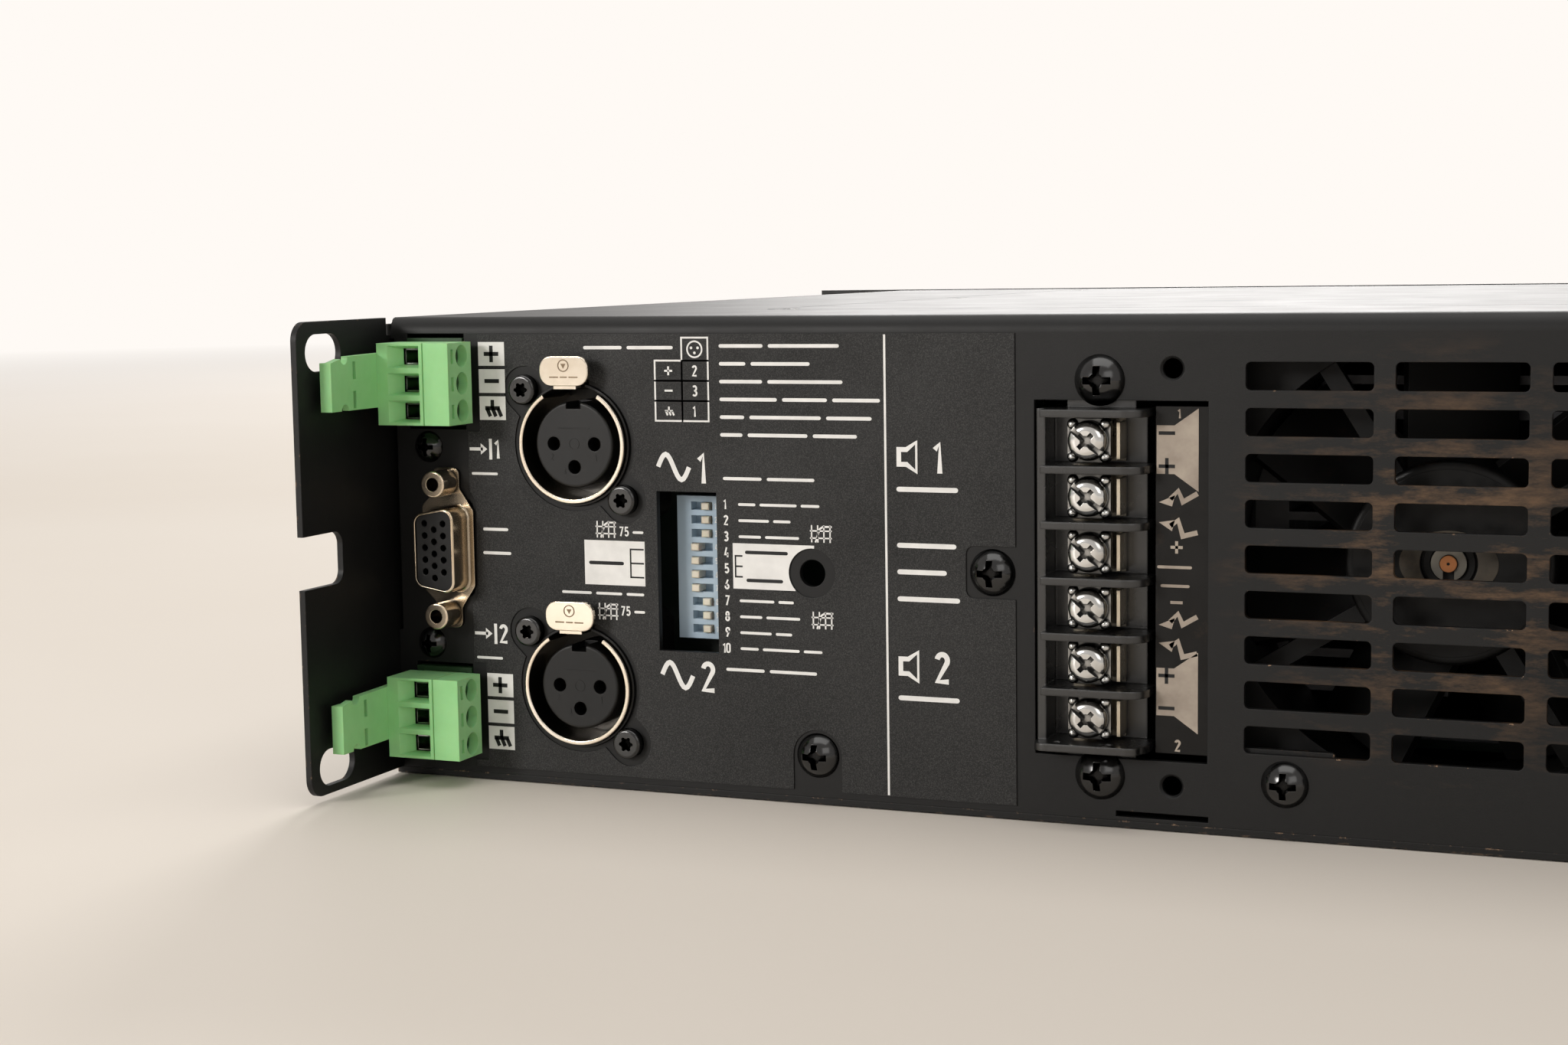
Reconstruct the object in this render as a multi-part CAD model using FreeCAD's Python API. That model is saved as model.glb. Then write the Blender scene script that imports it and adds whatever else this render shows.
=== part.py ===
import FreeCAD, Part
import math
import os

from FreeCAD import Matrix, Placement, Rotation, Vector

# A two-unit rack power amplifier. Millimetres. The front looks along -Y, +X is its right side seen
# from the front and +Z is up. The origin is the centre of the front rack slots, on the back face
# of the faceplate. "u, v, w" below are measured on the rear panel as seen from behind the unit:
# u to the right from the chassis's side, v up from its underside, w out towards the viewer.

# ---- case ----
RACK_UNIT = 44.45
FACE_W = 482.6
FACE_H = 2 * RACK_UNIT - 0.8
FACE_T = 3.2
BODY_W = 431.8
BODY_H = 88.0
BODY_D = 290.0
SHEET = 1.2
BASE_Z = -44.2
HALF_W = BODY_W / 2
BEND_R = 3.0
GAP = 0.5
TOP_LIP = 10.0
FRONT_FLANGE = 14.0

# ---- rack ears ----
SLOT_PITCH_X = 465.1
SLOT_PITCH_Z = 76.2
FRONT_SLOT_L = 10.3
REAR_SLOT_L = 11.7
SLOT_W = 6.8
EAR_REACH = 31.5
EAR_LOW = 1.2
EAR_SLOT_W = 22.9
EAR_CORNER_R = 3.5
EAR_NOTCH_V = (39.6, 49.3)
EAR_NOTCH_REACH = 12.8
EAR_RELIEF = (1.2, 3.3)

# ---- lid in the top ----
LID_EDGE = 58.0
LID_REAR = 47.0
LID_FRONT = 270.0
LID_CORNER_R = 4.0
LID_SEAT = 8.0

# ---- rear panel layout: u, v centres ----
XLR_CENTRES = ((40.25, 64.4), (40.25, 19.0))
XLR_SCREW_OFFSET = 10.1
XLR_BORE_R = 11.0
XLR_RING_R = 10.9
XLR_INSERT_R = 8.0
XLR_INSERT_W = 0.3
XLR_GAP_DEG = 32.0
XLR_BODY_HALF = 14.2
XLR_CONTACT_HOLE_R = 1.3
BLOCK_V = (75.9, 13.1)
BLOCK_U = (5.0, 17.3)
BLOCK_HALF_H = 9.0
HEADER_HALF_H = 8.2
HEADER_BACK_WALL = 2.5
DATA_U = 13.1
DATA_V = 44.35
DATA_PITCH = 24.99
DATA_FLANGE_T = 0.8
DATA_REACH = 6.3
JACKSCREW_R = 2.5
JACKSCREW_BORE_R = 1.3
JACKSCREW_TOP = 6.0
DIP_WINDOW = (56.9, 68.9, 26.6, 56.1)
OVERLAY = (17.8, 125.3, 2.45, 84.8)
OVERLAY_T = 0.25
TEST_HOLE = (87.4, 42.0)
TEST_HOLE_R = 2.45
GUARD_HOLE_U = 152.7
GUARD_HOLE_V = (78.8, 7.75)
BARRIER_WINDOW = (128.7, 158.8, 12.0, 73.4)
BARRIER_U = 140.2
BARRIER_LUG_V = (76.8, 9.0)
BARRIER_LUG_HEAD = 8.8
BARRIER_WALL_U = (129.6, 131.1)
BARRIER_BASE_U = 147.4
BARRIER_FIN_U = 149.0
BARRIER_FIN_W = 4.6
BARRIER_FLOOR_W = -4.4
BARRIER_DEPTH = 14.0
TERMINAL_U = 138.5
TERMINAL_SCREW_R = 1.8
TERMINAL_HEAD_R = 3.4
TERMINAL_TOP_W = 0.6
BARRIER_V = 42.8
BARRIER_PITCH = 9.525
BARRIER_WAYS = 6
BARRIER_FIN_T = 1.3
GRILLE_U = (165.0, 189.3, 213.6)
GRILLE_TOP_V = 77.6
GRILLE_PITCH = 7.62
GRILLE_ROWS = 9
GRILLE_SLOT = (20.85, 4.7)
TAB_SLOT = (143.0, 159.0, 1.9, 2.9)
CREASE = (0.9, 28.0, 84.0)
LEGEND_CARD = (149.6, 161.0, 13.2, 72.4)
INLET = (398.0, 44.0)
INLET_BLADES = ((2.0, 0.0), (-2.0, -7.0), (-2.0, 7.0))

# Panel screws: u, v, head diameter, what is behind (a board standoff or a tab on the tray).
STANDOFF_SCREWS = ((121.1, 43.3, 8.3), (88.0, 8.9, 8.2), (9.1, 63.5, 6.0), (8.6, 25.8, 6.0))
TAB_SCREWS = ((171.9, 9.4, 8.0), (270.0, 9.4, 8.0), (350.0, 9.4, 8.0))
LARGE_SHANK_R = 1.9
SMALL_SHANK_R = 1.4
FLOOR_HEAD_R = 2.6
BOARD_SCREW_HEAD = 5.6
BOARD_SCREW_L = 4.1
FACE_SCREW_L = 3.0
FACE_HOLE = 2.2
CLEAR = 0.1
TINY = 1e-6
PAST = 9.0

# ---- pluggable terminals ----
WAY = 5.08
PLUG_U = (5.0, 20.2)
PLUG_W = (2.5, 11.0)
PLUG_HALF_H = 1.5 * WAY
NOSE_HALF_H = PLUG_HALF_H - 0.4
TIE_TAB_DOWN = 4.3
TIE_TAB_UP = 5.9
TIE_TAB_DROP = 1.3
TIE_TAB_T = 1.4
TIE_TAB_REACH = 26.4

# ---- mode switches ----
DIP_U = (58.1, 68.0)
DIP_TOP_W = -6.0
DIP_V = 41.5
DIP_PITCH = 2.54
DIP_SLOT_U = (61.0, 65.2)
DIP_SLOT_HALF = 0.75
DIP_SLOT_DEPTH = 2.2
DIP_NUB = 1.6
DIP_NUB_UP = 0.9
DIP_LEFT_U = 61.95
DIP_TRAVEL = 2.2
DIP_ON = (1, 1, 1, 0, 0, 0, 0, 1, 1, 1)

# ---- boards ----
BOARD_T = 1.6
INPUT_BOARD_W = -11.5
AMP_BOARD = (-34.0, 200.0, 40.0, 250.0)
AMP_BOARD_V = 9.0
BOARD_TOP_Z = BASE_Z + AMP_BOARD_V + BOARD_T

# ---- fan ----
FAN = (197.0, 46.5)
FAN_SIZE = 80.0
FAN_DEPTH = 25.0
FAN_FACE_W = -8.0
FAN_HOLE_PITCH = 71.5
FAN_BORE_R = 38.0
FAN_HUB_R = 17.0
FAN_BLADES = 7
FAN_SCREW_R = 1.75

# ---- heat sink and transformer ----
SINK_U = (160.0, 234.0)
SINK_V = (12.0, 84.0)
SINK_LENGTH = 150.0
SINK_WALL = 6.0
SINK_SKIN = 2.5
SINK_FIN = (28.0, 1.6)
SINK_FINS = 10
DEVICE = (16.0, 21.0, 5.0)
DEVICE_PITCH = 33.0
DEVICE_V = 34.0
DEVICE_SCREW_V = 49.5
TRANSFORMER = (-130.0, 130.0)
TRANSFORMER_R = 61.0
TRANSFORMER_H = 56.0
TRANSFORMER_HOLE_R = 18.0

# ---- front controls ----
KNOB_X = (62.0, 112.0)
KNOB_Z = -14.0
KNOB_R = 12.0
KNOB_H = 15.0
POT_SHAFT_R = 3.0
ROCKER_X = 180.0
ROCKER_Z = -10.0
ROCKER_R = 9.2
ROCKER_TILT = 10.0
LED_ROWS = (10.0, 16.5, 23.0, 29.5)
LED_R = 1.5
CONTROL_BOARD_Y = 14.0

REAR = Placement(Matrix(-1, 0, 0, HALF_W, 0, 0, 1, BODY_D, 0, 1, 0, BASE_Z, 0, 0, 0, 1))
FRONT = Placement(Matrix(1, 0, 0, 0, 0, 0, -1, 0, 0, 1, 0, 0, 0, 0, 0, 1))
UPSIDE_DOWN = Placement(Vector(0, 0, 0), Rotation(Vector(1, 0, 0), 180))


# ---- shape helpers: local z is the direction of extrusion ----
def block(x0, x1, y0, y1, z0, z1):
    return Part.makeBox(x1 - x0, y1 - y0, z1 - z0, Vector(x0, y0, z0))


def rod(x, y, z0, z1, r):
    return Part.makeCylinder(r, z1 - z0, Vector(x, y, z0))


def taper(x, y, z0, z1, r0, r1):
    return Part.makeCone(r0, r1, z1 - z0, Vector(x, y, z0))


def tube(x, y, z0, z1, outer, inner):
    return rod(x, y, z0, z1, outer).cut(rod(x, y, z0 - 1, z1 + 1, inner))


def rounded(x0, x1, y0, y1, z0, z1, r):
    """A prism whose four upright edges are rounded."""
    solid = block(x0, x1, y0, y1, z0, z1)
    upright = [e for e in solid.Edges if abs(e.Vertexes[0].Z - e.Vertexes[1].Z) > TINY]
    return solid.makeFillet(r, upright)


def prism(points, z0, z1):
    wire = Part.makePolygon([Vector(x, y, z0) for x, y in points + points[:1]])
    return Part.Face(wire).extrude(Vector(0, 0, z1 - z0))


def slot(x, y, z0, z1, length, width):
    r = width / 2
    half = length / 2 - r
    bar = block(x - half, x + half, y - r, y + r, z0, z1)
    return bar.fuse([rod(x - half, y, z0, z1, r), rod(x + half, y, z0, z1, r)]).removeSplitter()


def fuse(*shapes):
    return shapes[0].fuse(list(shapes[1:])).removeSplitter()


def group(shapes):
    """Separate pieces that share one node."""
    return Part.makeCompound(list(shapes))


def moved(shape, x, y, z):
    copy = shape.copy()
    copy.translate(Vector(x, y, z))
    return copy


def placed(shape, placement):
    copy = shape.copy()
    copy.Placement = placement.multiply(copy.Placement)
    return copy


def on_rear(shape):
    return placed(shape, REAR)


def on_front(shape):
    return placed(shape, FRONT)


def rounded_edges(shape, r, wanted):
    return shape.makeFillet(r, [e for e in shape.Edges if wanted(e)])


# ---- fasteners, built with the head above z = 0 and the shank below ----
def cross_recess(size, z_top, depth):
    half = size / 2
    arm = size / 8
    bars = block(-half, half, -arm, arm, z_top - depth, z_top + 1)
    cross = bars.fuse(block(-arm, arm, -half, half, z_top - depth, z_top + 1))
    return cross.fuse(taper(0, 0, z_top - depth, z_top, arm, size / 3.6))


def pan_screw(head_d, shank_r, length):
    r = head_d / 2
    height = head_d * 0.32
    dome_r = (r * r + height * height) / (2 * height)
    dome = Part.makeSphere(dome_r, Vector(0, 0, height - dome_r))
    head = dome.common(rod(0, 0, 0, height + 1, r))
    head = head.cut(cross_recess(head_d * 0.56, height, height * 0.62))
    return fuse(head, rod(0, 0, -length, 0, shank_r))


def torx_screw(head_d, shank_r, length):
    r = head_d / 2
    height = 1.9
    head = rounded_edges(rod(0, 0, 0, height, r), 0.6, lambda e: e.BoundBox.ZMin > height - TINY)
    for i in range(6):
        a = math.radians(60 * i)
        head = head.cut(rod(1.05 * math.cos(a), 1.05 * math.sin(a), 0.6, height + 1, 0.36))
    head = head.cut(rod(0, 0, 0.6, height + 1, 1.05))
    return fuse(head, rod(0, 0, -length, 0, shank_r))


def flat_screw(head_r, shank_r, length):
    """A countersunk screw whose head is flush with z = 0."""
    depth = head_r - shank_r
    head = taper(0, 0, -depth, 0, shank_r, head_r)
    head = head.cut(cross_recess(head_r, 0, depth * 0.6))
    return fuse(head, rod(0, 0, -length, -depth, shank_r))


# ---- case ----
def ear_cutouts():
    """What is cut from one ear, in v (local x) and w (local y), through the sheet."""
    reach = EAR_REACH - EAR_NOTCH_REACH
    low, high = EAR_NOTCH_V
    notch = rounded(low, high, reach, EAR_REACH + 9, -PAST, PAST, 2.5)
    slot_v = [(BODY_H + 0.4) / 2 + s * SLOT_PITCH_Z / 2 for s in (-1, 1)]
    slots = [placed_slot(v) for v in slot_v]
    gap, drop = EAR_RELIEF
    relief = block(BODY_H - drop, BODY_H + 9, 0, gap, -PAST, PAST)
    return notch.fuse(slots + [relief])


def placed_slot(v):
    upright = slot(0, 0, -PAST, PAST, REAR_SLOT_L, SLOT_W)
    upright.rotate(Vector(0, 0, 0), Vector(0, 0, 1), 90)
    return moved(upright, v, EAR_SLOT_W, 0)


def side_wall():
    """One side wall with its rear ear, lying in v (local x) and w (local y), outer face at z = 0."""
    wall = block(0, BODY_H - SHEET, -BODY_D, 0, -SHEET, 0)
    ear = rounded(EAR_LOW, BODY_H, -EAR_CORNER_R - 9, EAR_REACH, -SHEET, 0, EAR_CORNER_R)
    ear = ear.common(block(0, BODY_H, 0, EAR_REACH, -SHEET, 0))
    return wall.fuse(ear).cut(ear_cutouts())


def build_chassis_tray():
    """Floor, side walls, rear ears, top lips, front flanges and rear screw tabs."""
    side_place = Matrix(0, 0, 1, HALF_W, 0, 1, 0, BODY_D, 1, 0, 0, BASE_Z, 0, 0, 0, 1)
    right = side_wall().transformGeometry(side_place)
    left = right.mirror(Vector(0, 0, 0), Vector(1, 0, 0))
    inner = HALF_W - SHEET
    top = BASE_Z + BODY_H - SHEET
    parts = [left, block(-HALF_W, HALF_W, 0, BODY_D, BASE_Z, BASE_Z + SHEET)]
    for s in (-1, 1):
        x0, x1 = sorted((s * inner, s * (inner - TOP_LIP)))
        parts.append(block(x0, x1, 2 * SHEET, BODY_D - 60, top - SHEET, top))
        x0, x1 = sorted((s * inner, s * (inner - FRONT_FLANGE)))
        parts.append(block(x0, x1, 0, SHEET, BASE_Z, top))
    tray = right.fuse(parts)
    tabs = [rounded(u - 8, u + 8, SHEET - 0.01, 15, -2 * SHEET, -SHEET, 0.5)
            for u, v, head in TAB_SCREWS]
    tray = tray.fuse([on_rear(t) for t in tabs]).removeSplitter()
    holes = [on_rear(rod(u, v, -PAST, PAST, LARGE_SHANK_R + CLEAR)) for u, v, head in TAB_SCREWS]
    holes += [on_front(rod(x, z, -PAST, PAST, SMALL_SHANK_R + CLEAR)) for x, z in face_screw_places()]
    for x, y in amp_standoff_places():
        holes.append(taper(x, y, BASE_Z - 0.01, BASE_Z + SHEET + 0.01, FLOOR_HEAD_R + CLEAR,
                           SMALL_SHANK_R + CLEAR))
    return tray.cut(holes)


def face_screw_places():
    x = HALF_W - SHEET - FRONT_FLANGE / 2
    return [(sx * x, sz * 25.0) for sx in (-1, 1) for sz in (-1, 1)]


def amp_standoff_places():
    x0, x1, y0, y1 = AMP_BOARD
    return [(x, y) for x in (x0 + 6, x1 - 6) for y in (y0 + 6, y1 - 6)]


def grille_slots():
    width, height = GRILLE_SLOT
    slots = []
    for u in GRILLE_U:
        for row in range(GRILLE_ROWS):
            v = GRILLE_TOP_V - row * GRILLE_PITCH
            slots.append(rounded(u, u + width, v - height / 2, v + height / 2, -PAST, PAST, 0.9))
    return slots


def connector_openings():
    """Holes of the rear panel around the connectors, in panel coordinates."""
    cuts = []
    for u, v in XLR_CENTRES:
        cuts.append(rod(u, v, -PAST, PAST, XLR_BORE_R + 0.5))
        cuts += [rod(su, sv, -PAST, PAST, SMALL_SHANK_R + CLEAR) for su, sv in xlr_screw_places(u, v)]
        cuts.append(block(u - 3.2, u + 3.2, v + 9, v + 13.2, -PAST, PAST))
    for v in BLOCK_V:
        cuts.append(block(BLOCK_U[0], BLOCK_U[1], v - BLOCK_HALF_H, v + BLOCK_HALF_H, -PAST, PAST))
    cuts.append(rounded(DATA_U - 5.2, DATA_U + 5.2, DATA_V - 9.3, DATA_V + 9.3, -PAST, PAST, 1.5))
    cuts += [rod(DATA_U, DATA_V + s * DATA_PITCH / 2, -PAST, PAST, 1.6) for s in (-1, 1)]
    u0, u1, v0, v1 = DIP_WINDOW
    cuts.append(block(u0, u1, v0, v1, -PAST, PAST))
    u0, u1, v0, v1 = BARRIER_WINDOW
    cuts.append(block(u0, u1, v0, v1, -PAST, PAST))
    u, v = INLET
    cuts.append(rounded(u - 10.2, u + 10.2, v - 13.9, v + 13.9, -PAST, PAST, 2.0))
    cuts += [rod(u, v + s * 20.0, -PAST, PAST, 1.7) for s in (-1, 1)]
    return cuts


def bend_rounded(box, r):
    """A box with the edge rounded where its top meets its rear face."""
    top, rear = box.BoundBox.YMax, box.BoundBox.ZMax
    return rounded_edges(box, r, lambda e: e.BoundBox.YMin > top - TINY
                         and e.BoundBox.ZMin > rear - TINY)


def build_rear_top_shell():
    """Rear panel and top in one bent sheet, with a stepped seat round the lid opening."""
    side = SHEET + 0.05
    outer = block(side, BODY_W - side, SHEET, BODY_H, -LID_REAR, 0)
    inner = block(0, BODY_W, 0, BODY_H - SHEET, -LID_REAR - PAST, -SHEET)
    shell = bend_rounded(outer, BEND_R).cut(bend_rounded(inner, BEND_R - SHEET))
    top = rounded_edges(block(0, BODY_W, BODY_H - SHEET, BODY_H, -BODY_D, -BEND_R), 0.9,
                        lambda e: abs(e.BoundBox.YMin - BODY_H) < TINY and e.BoundBox.ZLength > 9)
    seat = under_lid(LID_EDGE - 4, 6.0, BODY_H - 2 * SHEET, BODY_H - SHEET)
    opening = under_lid(LID_EDGE, LID_CORNER_R, BODY_H - SHEET - 0.001, BODY_H + 9)
    well = under_lid(LID_EDGE + LID_SEAT, LID_CORNER_R, 0, BODY_H)
    shell = shell.fuse([top, seat]).removeSplitter().cut([opening, well])
    round_holes = [rod(*TEST_HOLE, -PAST, PAST, TEST_HOLE_R)]
    for u, v, head in STANDOFF_SCREWS + TAB_SCREWS:
        round_holes.append(rod(u, v, -PAST, PAST, shank_radius(head) + CLEAR))
    for v in GUARD_HOLE_V:
        round_holes.append(rod(GUARD_HOLE_U, v, -PAST, PAST, 1.7))
        round_holes.append(taper(GUARD_HOLE_U, v, -0.4, 0.01, 1.7, 2.1))
    round_holes += [rod(BARRIER_U, v, -PAST, PAST, LARGE_SHANK_R + CLEAR) for v in BARRIER_LUG_V]
    tab_slot = block(*TAB_SLOT, -PAST, PAST)
    crease = block(side - 1, side + CREASE[0], CREASE[1], CREASE[2], -PAST, PAST)
    cuts = connector_openings() + grille_slots() + round_holes + [tab_slot, crease]
    for u, w in lid_screw_places():
        cuts.append(upright_hole(u, w, 1.5))
    return on_rear(shell.cut(cuts))


def under_lid(edge, radius, v0, v1):
    """A rounded pocket seen from above, inset from the sides by edge, between heights v0 and v1."""
    inset = edge - LID_EDGE
    near, far = -LID_REAR - inset, -LID_FRONT + inset
    flat = rounded(edge, BODY_W - edge, -near, -far, v0, v1, radius)
    turn = Matrix(1, 0, 0, 0, 0, 0, 1, 0, 0, -1, 0, 0, 0, 0, 0, 1)
    return placed(flat, Placement(turn))


def upright_hole(u, w, r):
    return Part.makeCylinder(r, 9, Vector(u, BODY_H - 6, w), Vector(0, 1, 0))


def lid_screw_places():
    edge = LID_EDGE + LID_SEAT / 2
    along = [edge, BODY_W / 2, BODY_W - edge]
    deep = (-LID_REAR - LID_SEAT / 2, -(LID_REAR + LID_FRONT) / 2, -LID_FRONT + LID_SEAT / 2)
    return [(u, w) for u in along for w in deep if not (u == BODY_W / 2 and w == deep[1])]


def build_top_cover():
    """The lid of the top: a flat sheet, flush with the top, held by countersunk screws."""
    lid = under_lid(LID_EDGE + GAP, LID_CORNER_R, BODY_H - SHEET, BODY_H)
    for u, w in lid_screw_places():
        lid = lid.cut(upright_hole(u, w, 1.6))
        cone = Part.makeCone(1.6, 2.8, SHEET, Vector(u, BODY_H - SHEET, w), Vector(0, 1, 0))
        lid = lid.cut(cone)
    return on_rear(lid)


def build_cover_screws():
    screw = flat_screw(2.6, 1.4, 3.6)
    up = Placement(Matrix(1, 0, 0, 0, 0, 0, 1, 0, 0, -1, 0, 0, 0, 0, 0, 1))
    return on_rear(group([moved(placed(screw, up), u, BODY_H - 0.02, w)
                          for u, w in lid_screw_places()]))


def shank_radius(head_d):
    return LARGE_SHANK_R if head_d > 7 else SMALL_SHANK_R


def build_front_panel():
    """Faceplate with rack slots, intake slots, knob, lamp and switch holes; edges broken."""
    plate = block(-FACE_W / 2, FACE_W / 2, -FACE_H / 2, FACE_H / 2, 0, FACE_T)
    plate = plate.makeChamfer(0.8, [e for e in plate.Edges if e.BoundBox.ZMin > FACE_T - TINY])
    cuts = [slot(sx * SLOT_PITCH_X / 2, sz * SLOT_PITCH_Z / 2, -1, PAST, FRONT_SLOT_L, SLOT_W)
            for sx in (-1, 1) for sz in (-1, 1)]
    width, height = GRILLE_SLOT
    for column in range(8):
        for row in range(7):
            x = -198.0 + column * (width + 3.45)
            z = (row - 3) * GRILLE_PITCH
            cuts.append(rounded(x, x + width, z - height / 2, z + height / 2, -1, PAST, 0.9))
    for x in KNOB_X:
        cuts.append(rod(x, KNOB_Z, -1, 9, 3.8))
    cuts += [rod(x, z, -1, PAST, LED_R + CLEAR) for x, z in led_places()]
    cuts.append(block(ROCKER_X - 7.2, ROCKER_X + 7.2, ROCKER_Z - 11.2, ROCKER_Z + 11.2, -1, 9))
    cuts += [rod(x, z, -1, FACE_HOLE, SMALL_SHANK_R) for x, z in face_screw_places()]
    return on_front(plate.cut(cuts))


# ---- front controls ----
def led_places():
    return [(x, z) for x in KNOB_X for z in LED_ROWS] + [(ROCKER_X, LED_ROWS[1])]


def build_led_lenses():
    lens = rod(0, 0, -CONTROL_BOARD_Y, FACE_T, LED_R)
    lens = lens.fuse(Part.makeSphere(LED_R, Vector(0, 0, FACE_T)).common(rod(0, 0, FACE_T, 9, 2)))
    return on_front(group([moved(lens.removeSplitter(), x, z, 0) for x, z in led_places()]))


def build_control_board():
    deep = -CONTROL_BOARD_Y
    board = rounded(30.0, 200.0, -36.0, 36.0, deep - BOARD_T, deep, 1.5)
    board = board.cut(block(ROCKER_X - 9, ROCKER_X + 9, ROCKER_Z - 13, ROCKER_Z + 13, -99, 0))
    for x, z in control_standoff_places():
        board = board.cut(rod(x, z, deep - PAST, 0, SMALL_SHANK_R + CLEAR))
    socket = block(106.0, 136.0, -34.0, -27.0, deep - BOARD_T - 6, deep - BOARD_T)
    return on_front(fuse(board, socket))


def control_standoff_places():
    return [(36.0, 31.0), (196.0, 31.0), (36.0, -31.0), (150.0, -31.0)]


def build_gain_pots():
    """Two rotary controls: square bodies with threaded bushings that pass the faceplate."""
    body = rounded(-8, 8, -8, 8, -CONTROL_BOARD_Y, -4.0, 1.0)
    bushing = rod(0, 0, -4.0, FACE_T + 2.4, 3.7)
    pot = fuse(body, bushing).cut(rod(0, 0, -CONTROL_BOARD_Y + 2, 20, POT_SHAFT_R + 0.05))
    nut = prism([(5.0 * math.cos(math.radians(60 * i)), 5.0 * math.sin(math.radians(60 * i)))
                 for i in range(6)], FACE_T, FACE_T + 2.0)
    nut = nut.cut(rod(0, 0, 0, 9, 3.7))
    return on_front(group([moved(s, x, KNOB_Z, 0) for x in KNOB_X for s in (pot, nut)]))


def build_gain_shaft(x):
    shaft = rod(0, 0, -CONTROL_BOARD_Y + 2.2, FACE_T + KNOB_H - 3, POT_SHAFT_R)
    flat = block(1.8, 9, -PAST, PAST, FACE_T + 4, 99)
    return on_front(moved(shaft.cut(flat), x, KNOB_Z, 0))


def build_gain_knob(x):
    """A skirted knob with a fluted grip and a pointer groove, bored for a flatted shaft."""
    low = FACE_T + 0.6
    top = FACE_T + KNOB_H
    skirt = taper(0, 0, low, low + 2.4, KNOB_R, KNOB_R - 0.5)
    grip = taper(0, 0, low + 2.4, top, KNOB_R - 2.0, KNOB_R - 2.8)
    knob = fuse(skirt, grip)
    knob = rounded_edges(knob, 0.7, lambda e: e.BoundBox.ZMin > top - TINY)
    for i in range(24):
        a = math.radians(15 * i + 7.5)
        x0, y0 = (KNOB_R - 1.75) * math.cos(a), (KNOB_R - 1.75) * math.sin(a)
        knob = knob.cut(rod(x0, y0, low + 2.9, top + 1, 0.8))
    knob = knob.cut(block(-0.5, 0.5, 3.0, 20, top - 0.6, top + 1))
    bore = rod(0, 0, 0, FACE_T + KNOB_H - 3, POT_SHAFT_R)
    bore = bore.cut(block(1.8, 9, -PAST, PAST, FACE_T + 4, 99))
    counterbore = rod(0, 0, 0, FACE_T + 3.4, 6.2)
    return on_front(moved(knob.cut([bore, counterbore]), x, KNOB_Z, 0))


def rocker_place(shape):
    """From local x = width, y = height, z = outwards, with the pivot at the local origin."""
    return on_front(moved(shape, ROCKER_X, ROCKER_Z, FACE_T - 2.0))


def build_power_rocker():
    body = Part.makeCylinder(ROCKER_R, 12.0, Vector(-6, 0, 0), Vector(1, 0, 0))
    body = body.common(block(-6, 6, -ROCKER_R, ROCKER_R, -5.0, 9))
    crown = 5.6
    drop = ROCKER_R * math.tan(math.radians(ROCKER_TILT + 2))
    wedge = [(-ROCKER_R, 0), (ROCKER_R, 0), (ROCKER_R, crown - drop), (0, crown),
             (-ROCKER_R, crown - drop)]
    face = prism(wedge, -6, 6)
    turn = Matrix(0, 0, 1, 0, 1, 0, 0, 0, 0, 1, 0, 0, 0, 0, 0, 1)
    face = placed(face, Placement(turn))
    rocker = fuse(body.common(face), body.common(block(-6, 6, -20, 20, -5, 0)))
    mark = tube(0, -ROCKER_R * 0.55, 0, 20, 1.6, 1.1)
    bar = block(-0.3, 0.3, ROCKER_R * 0.35, ROCKER_R * 0.75, 0, 20)
    skin = placed(prism([(y, z - 0.35) for y, z in wedge[2:]] + [(-ROCKER_R, 20), (ROCKER_R, 20)],
                        -6, 6), Placement(turn))
    rocker = rocker.cut([mark.common(skin), bar.common(skin)])
    axle = Part.makeCylinder(1.0, 14.0, Vector(-7, 0, -1.5), Vector(1, 0, 0))
    rocker = fuse(rocker, axle)
    rocker.rotate(Vector(0, 0, -1.5), Vector(1, 0, 0), ROCKER_TILT)
    return rocker_place(rocker)


def build_power_switch_housing():
    """Snap-in switch body with a bezel; the rocker's axle turns in its side walls."""
    back = -20.0
    bezel = rounded(-9.2, 9.2, -13.2, 13.2, 2.0, 3.8, 2.0)
    body = block(-7.1, 7.1, -11.1, 11.1, back, 2.0)
    swing = Part.makeCylinder(ROCKER_R + 0.7, 12.4, Vector(-6.2, 0, -1.5), Vector(1, 0, 0))
    mouth = block(-6.2, 6.2, -ROCKER_R - 0.7, ROCKER_R + 0.7, -1.5, 9)
    axle = Part.makeCylinder(1.05, 14.2, Vector(-7.1, 0, -1.5), Vector(1, 0, 0))
    housing = fuse(bezel, body).cut([swing, mouth, axle])
    blades = [block(-2.4, 2.4, y - 0.4, y + 0.4, back - 9, back) for y in (-7.5, 0, 7.5)]
    return rocker_place(fuse(housing, *blades))


# ---- XLR inputs ----
def xlr_screw_places(u, v):
    return [(u + s * XLR_SCREW_OFFSET, v - s * XLR_SCREW_OFFSET) for s in (-1, 1)]


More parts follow.
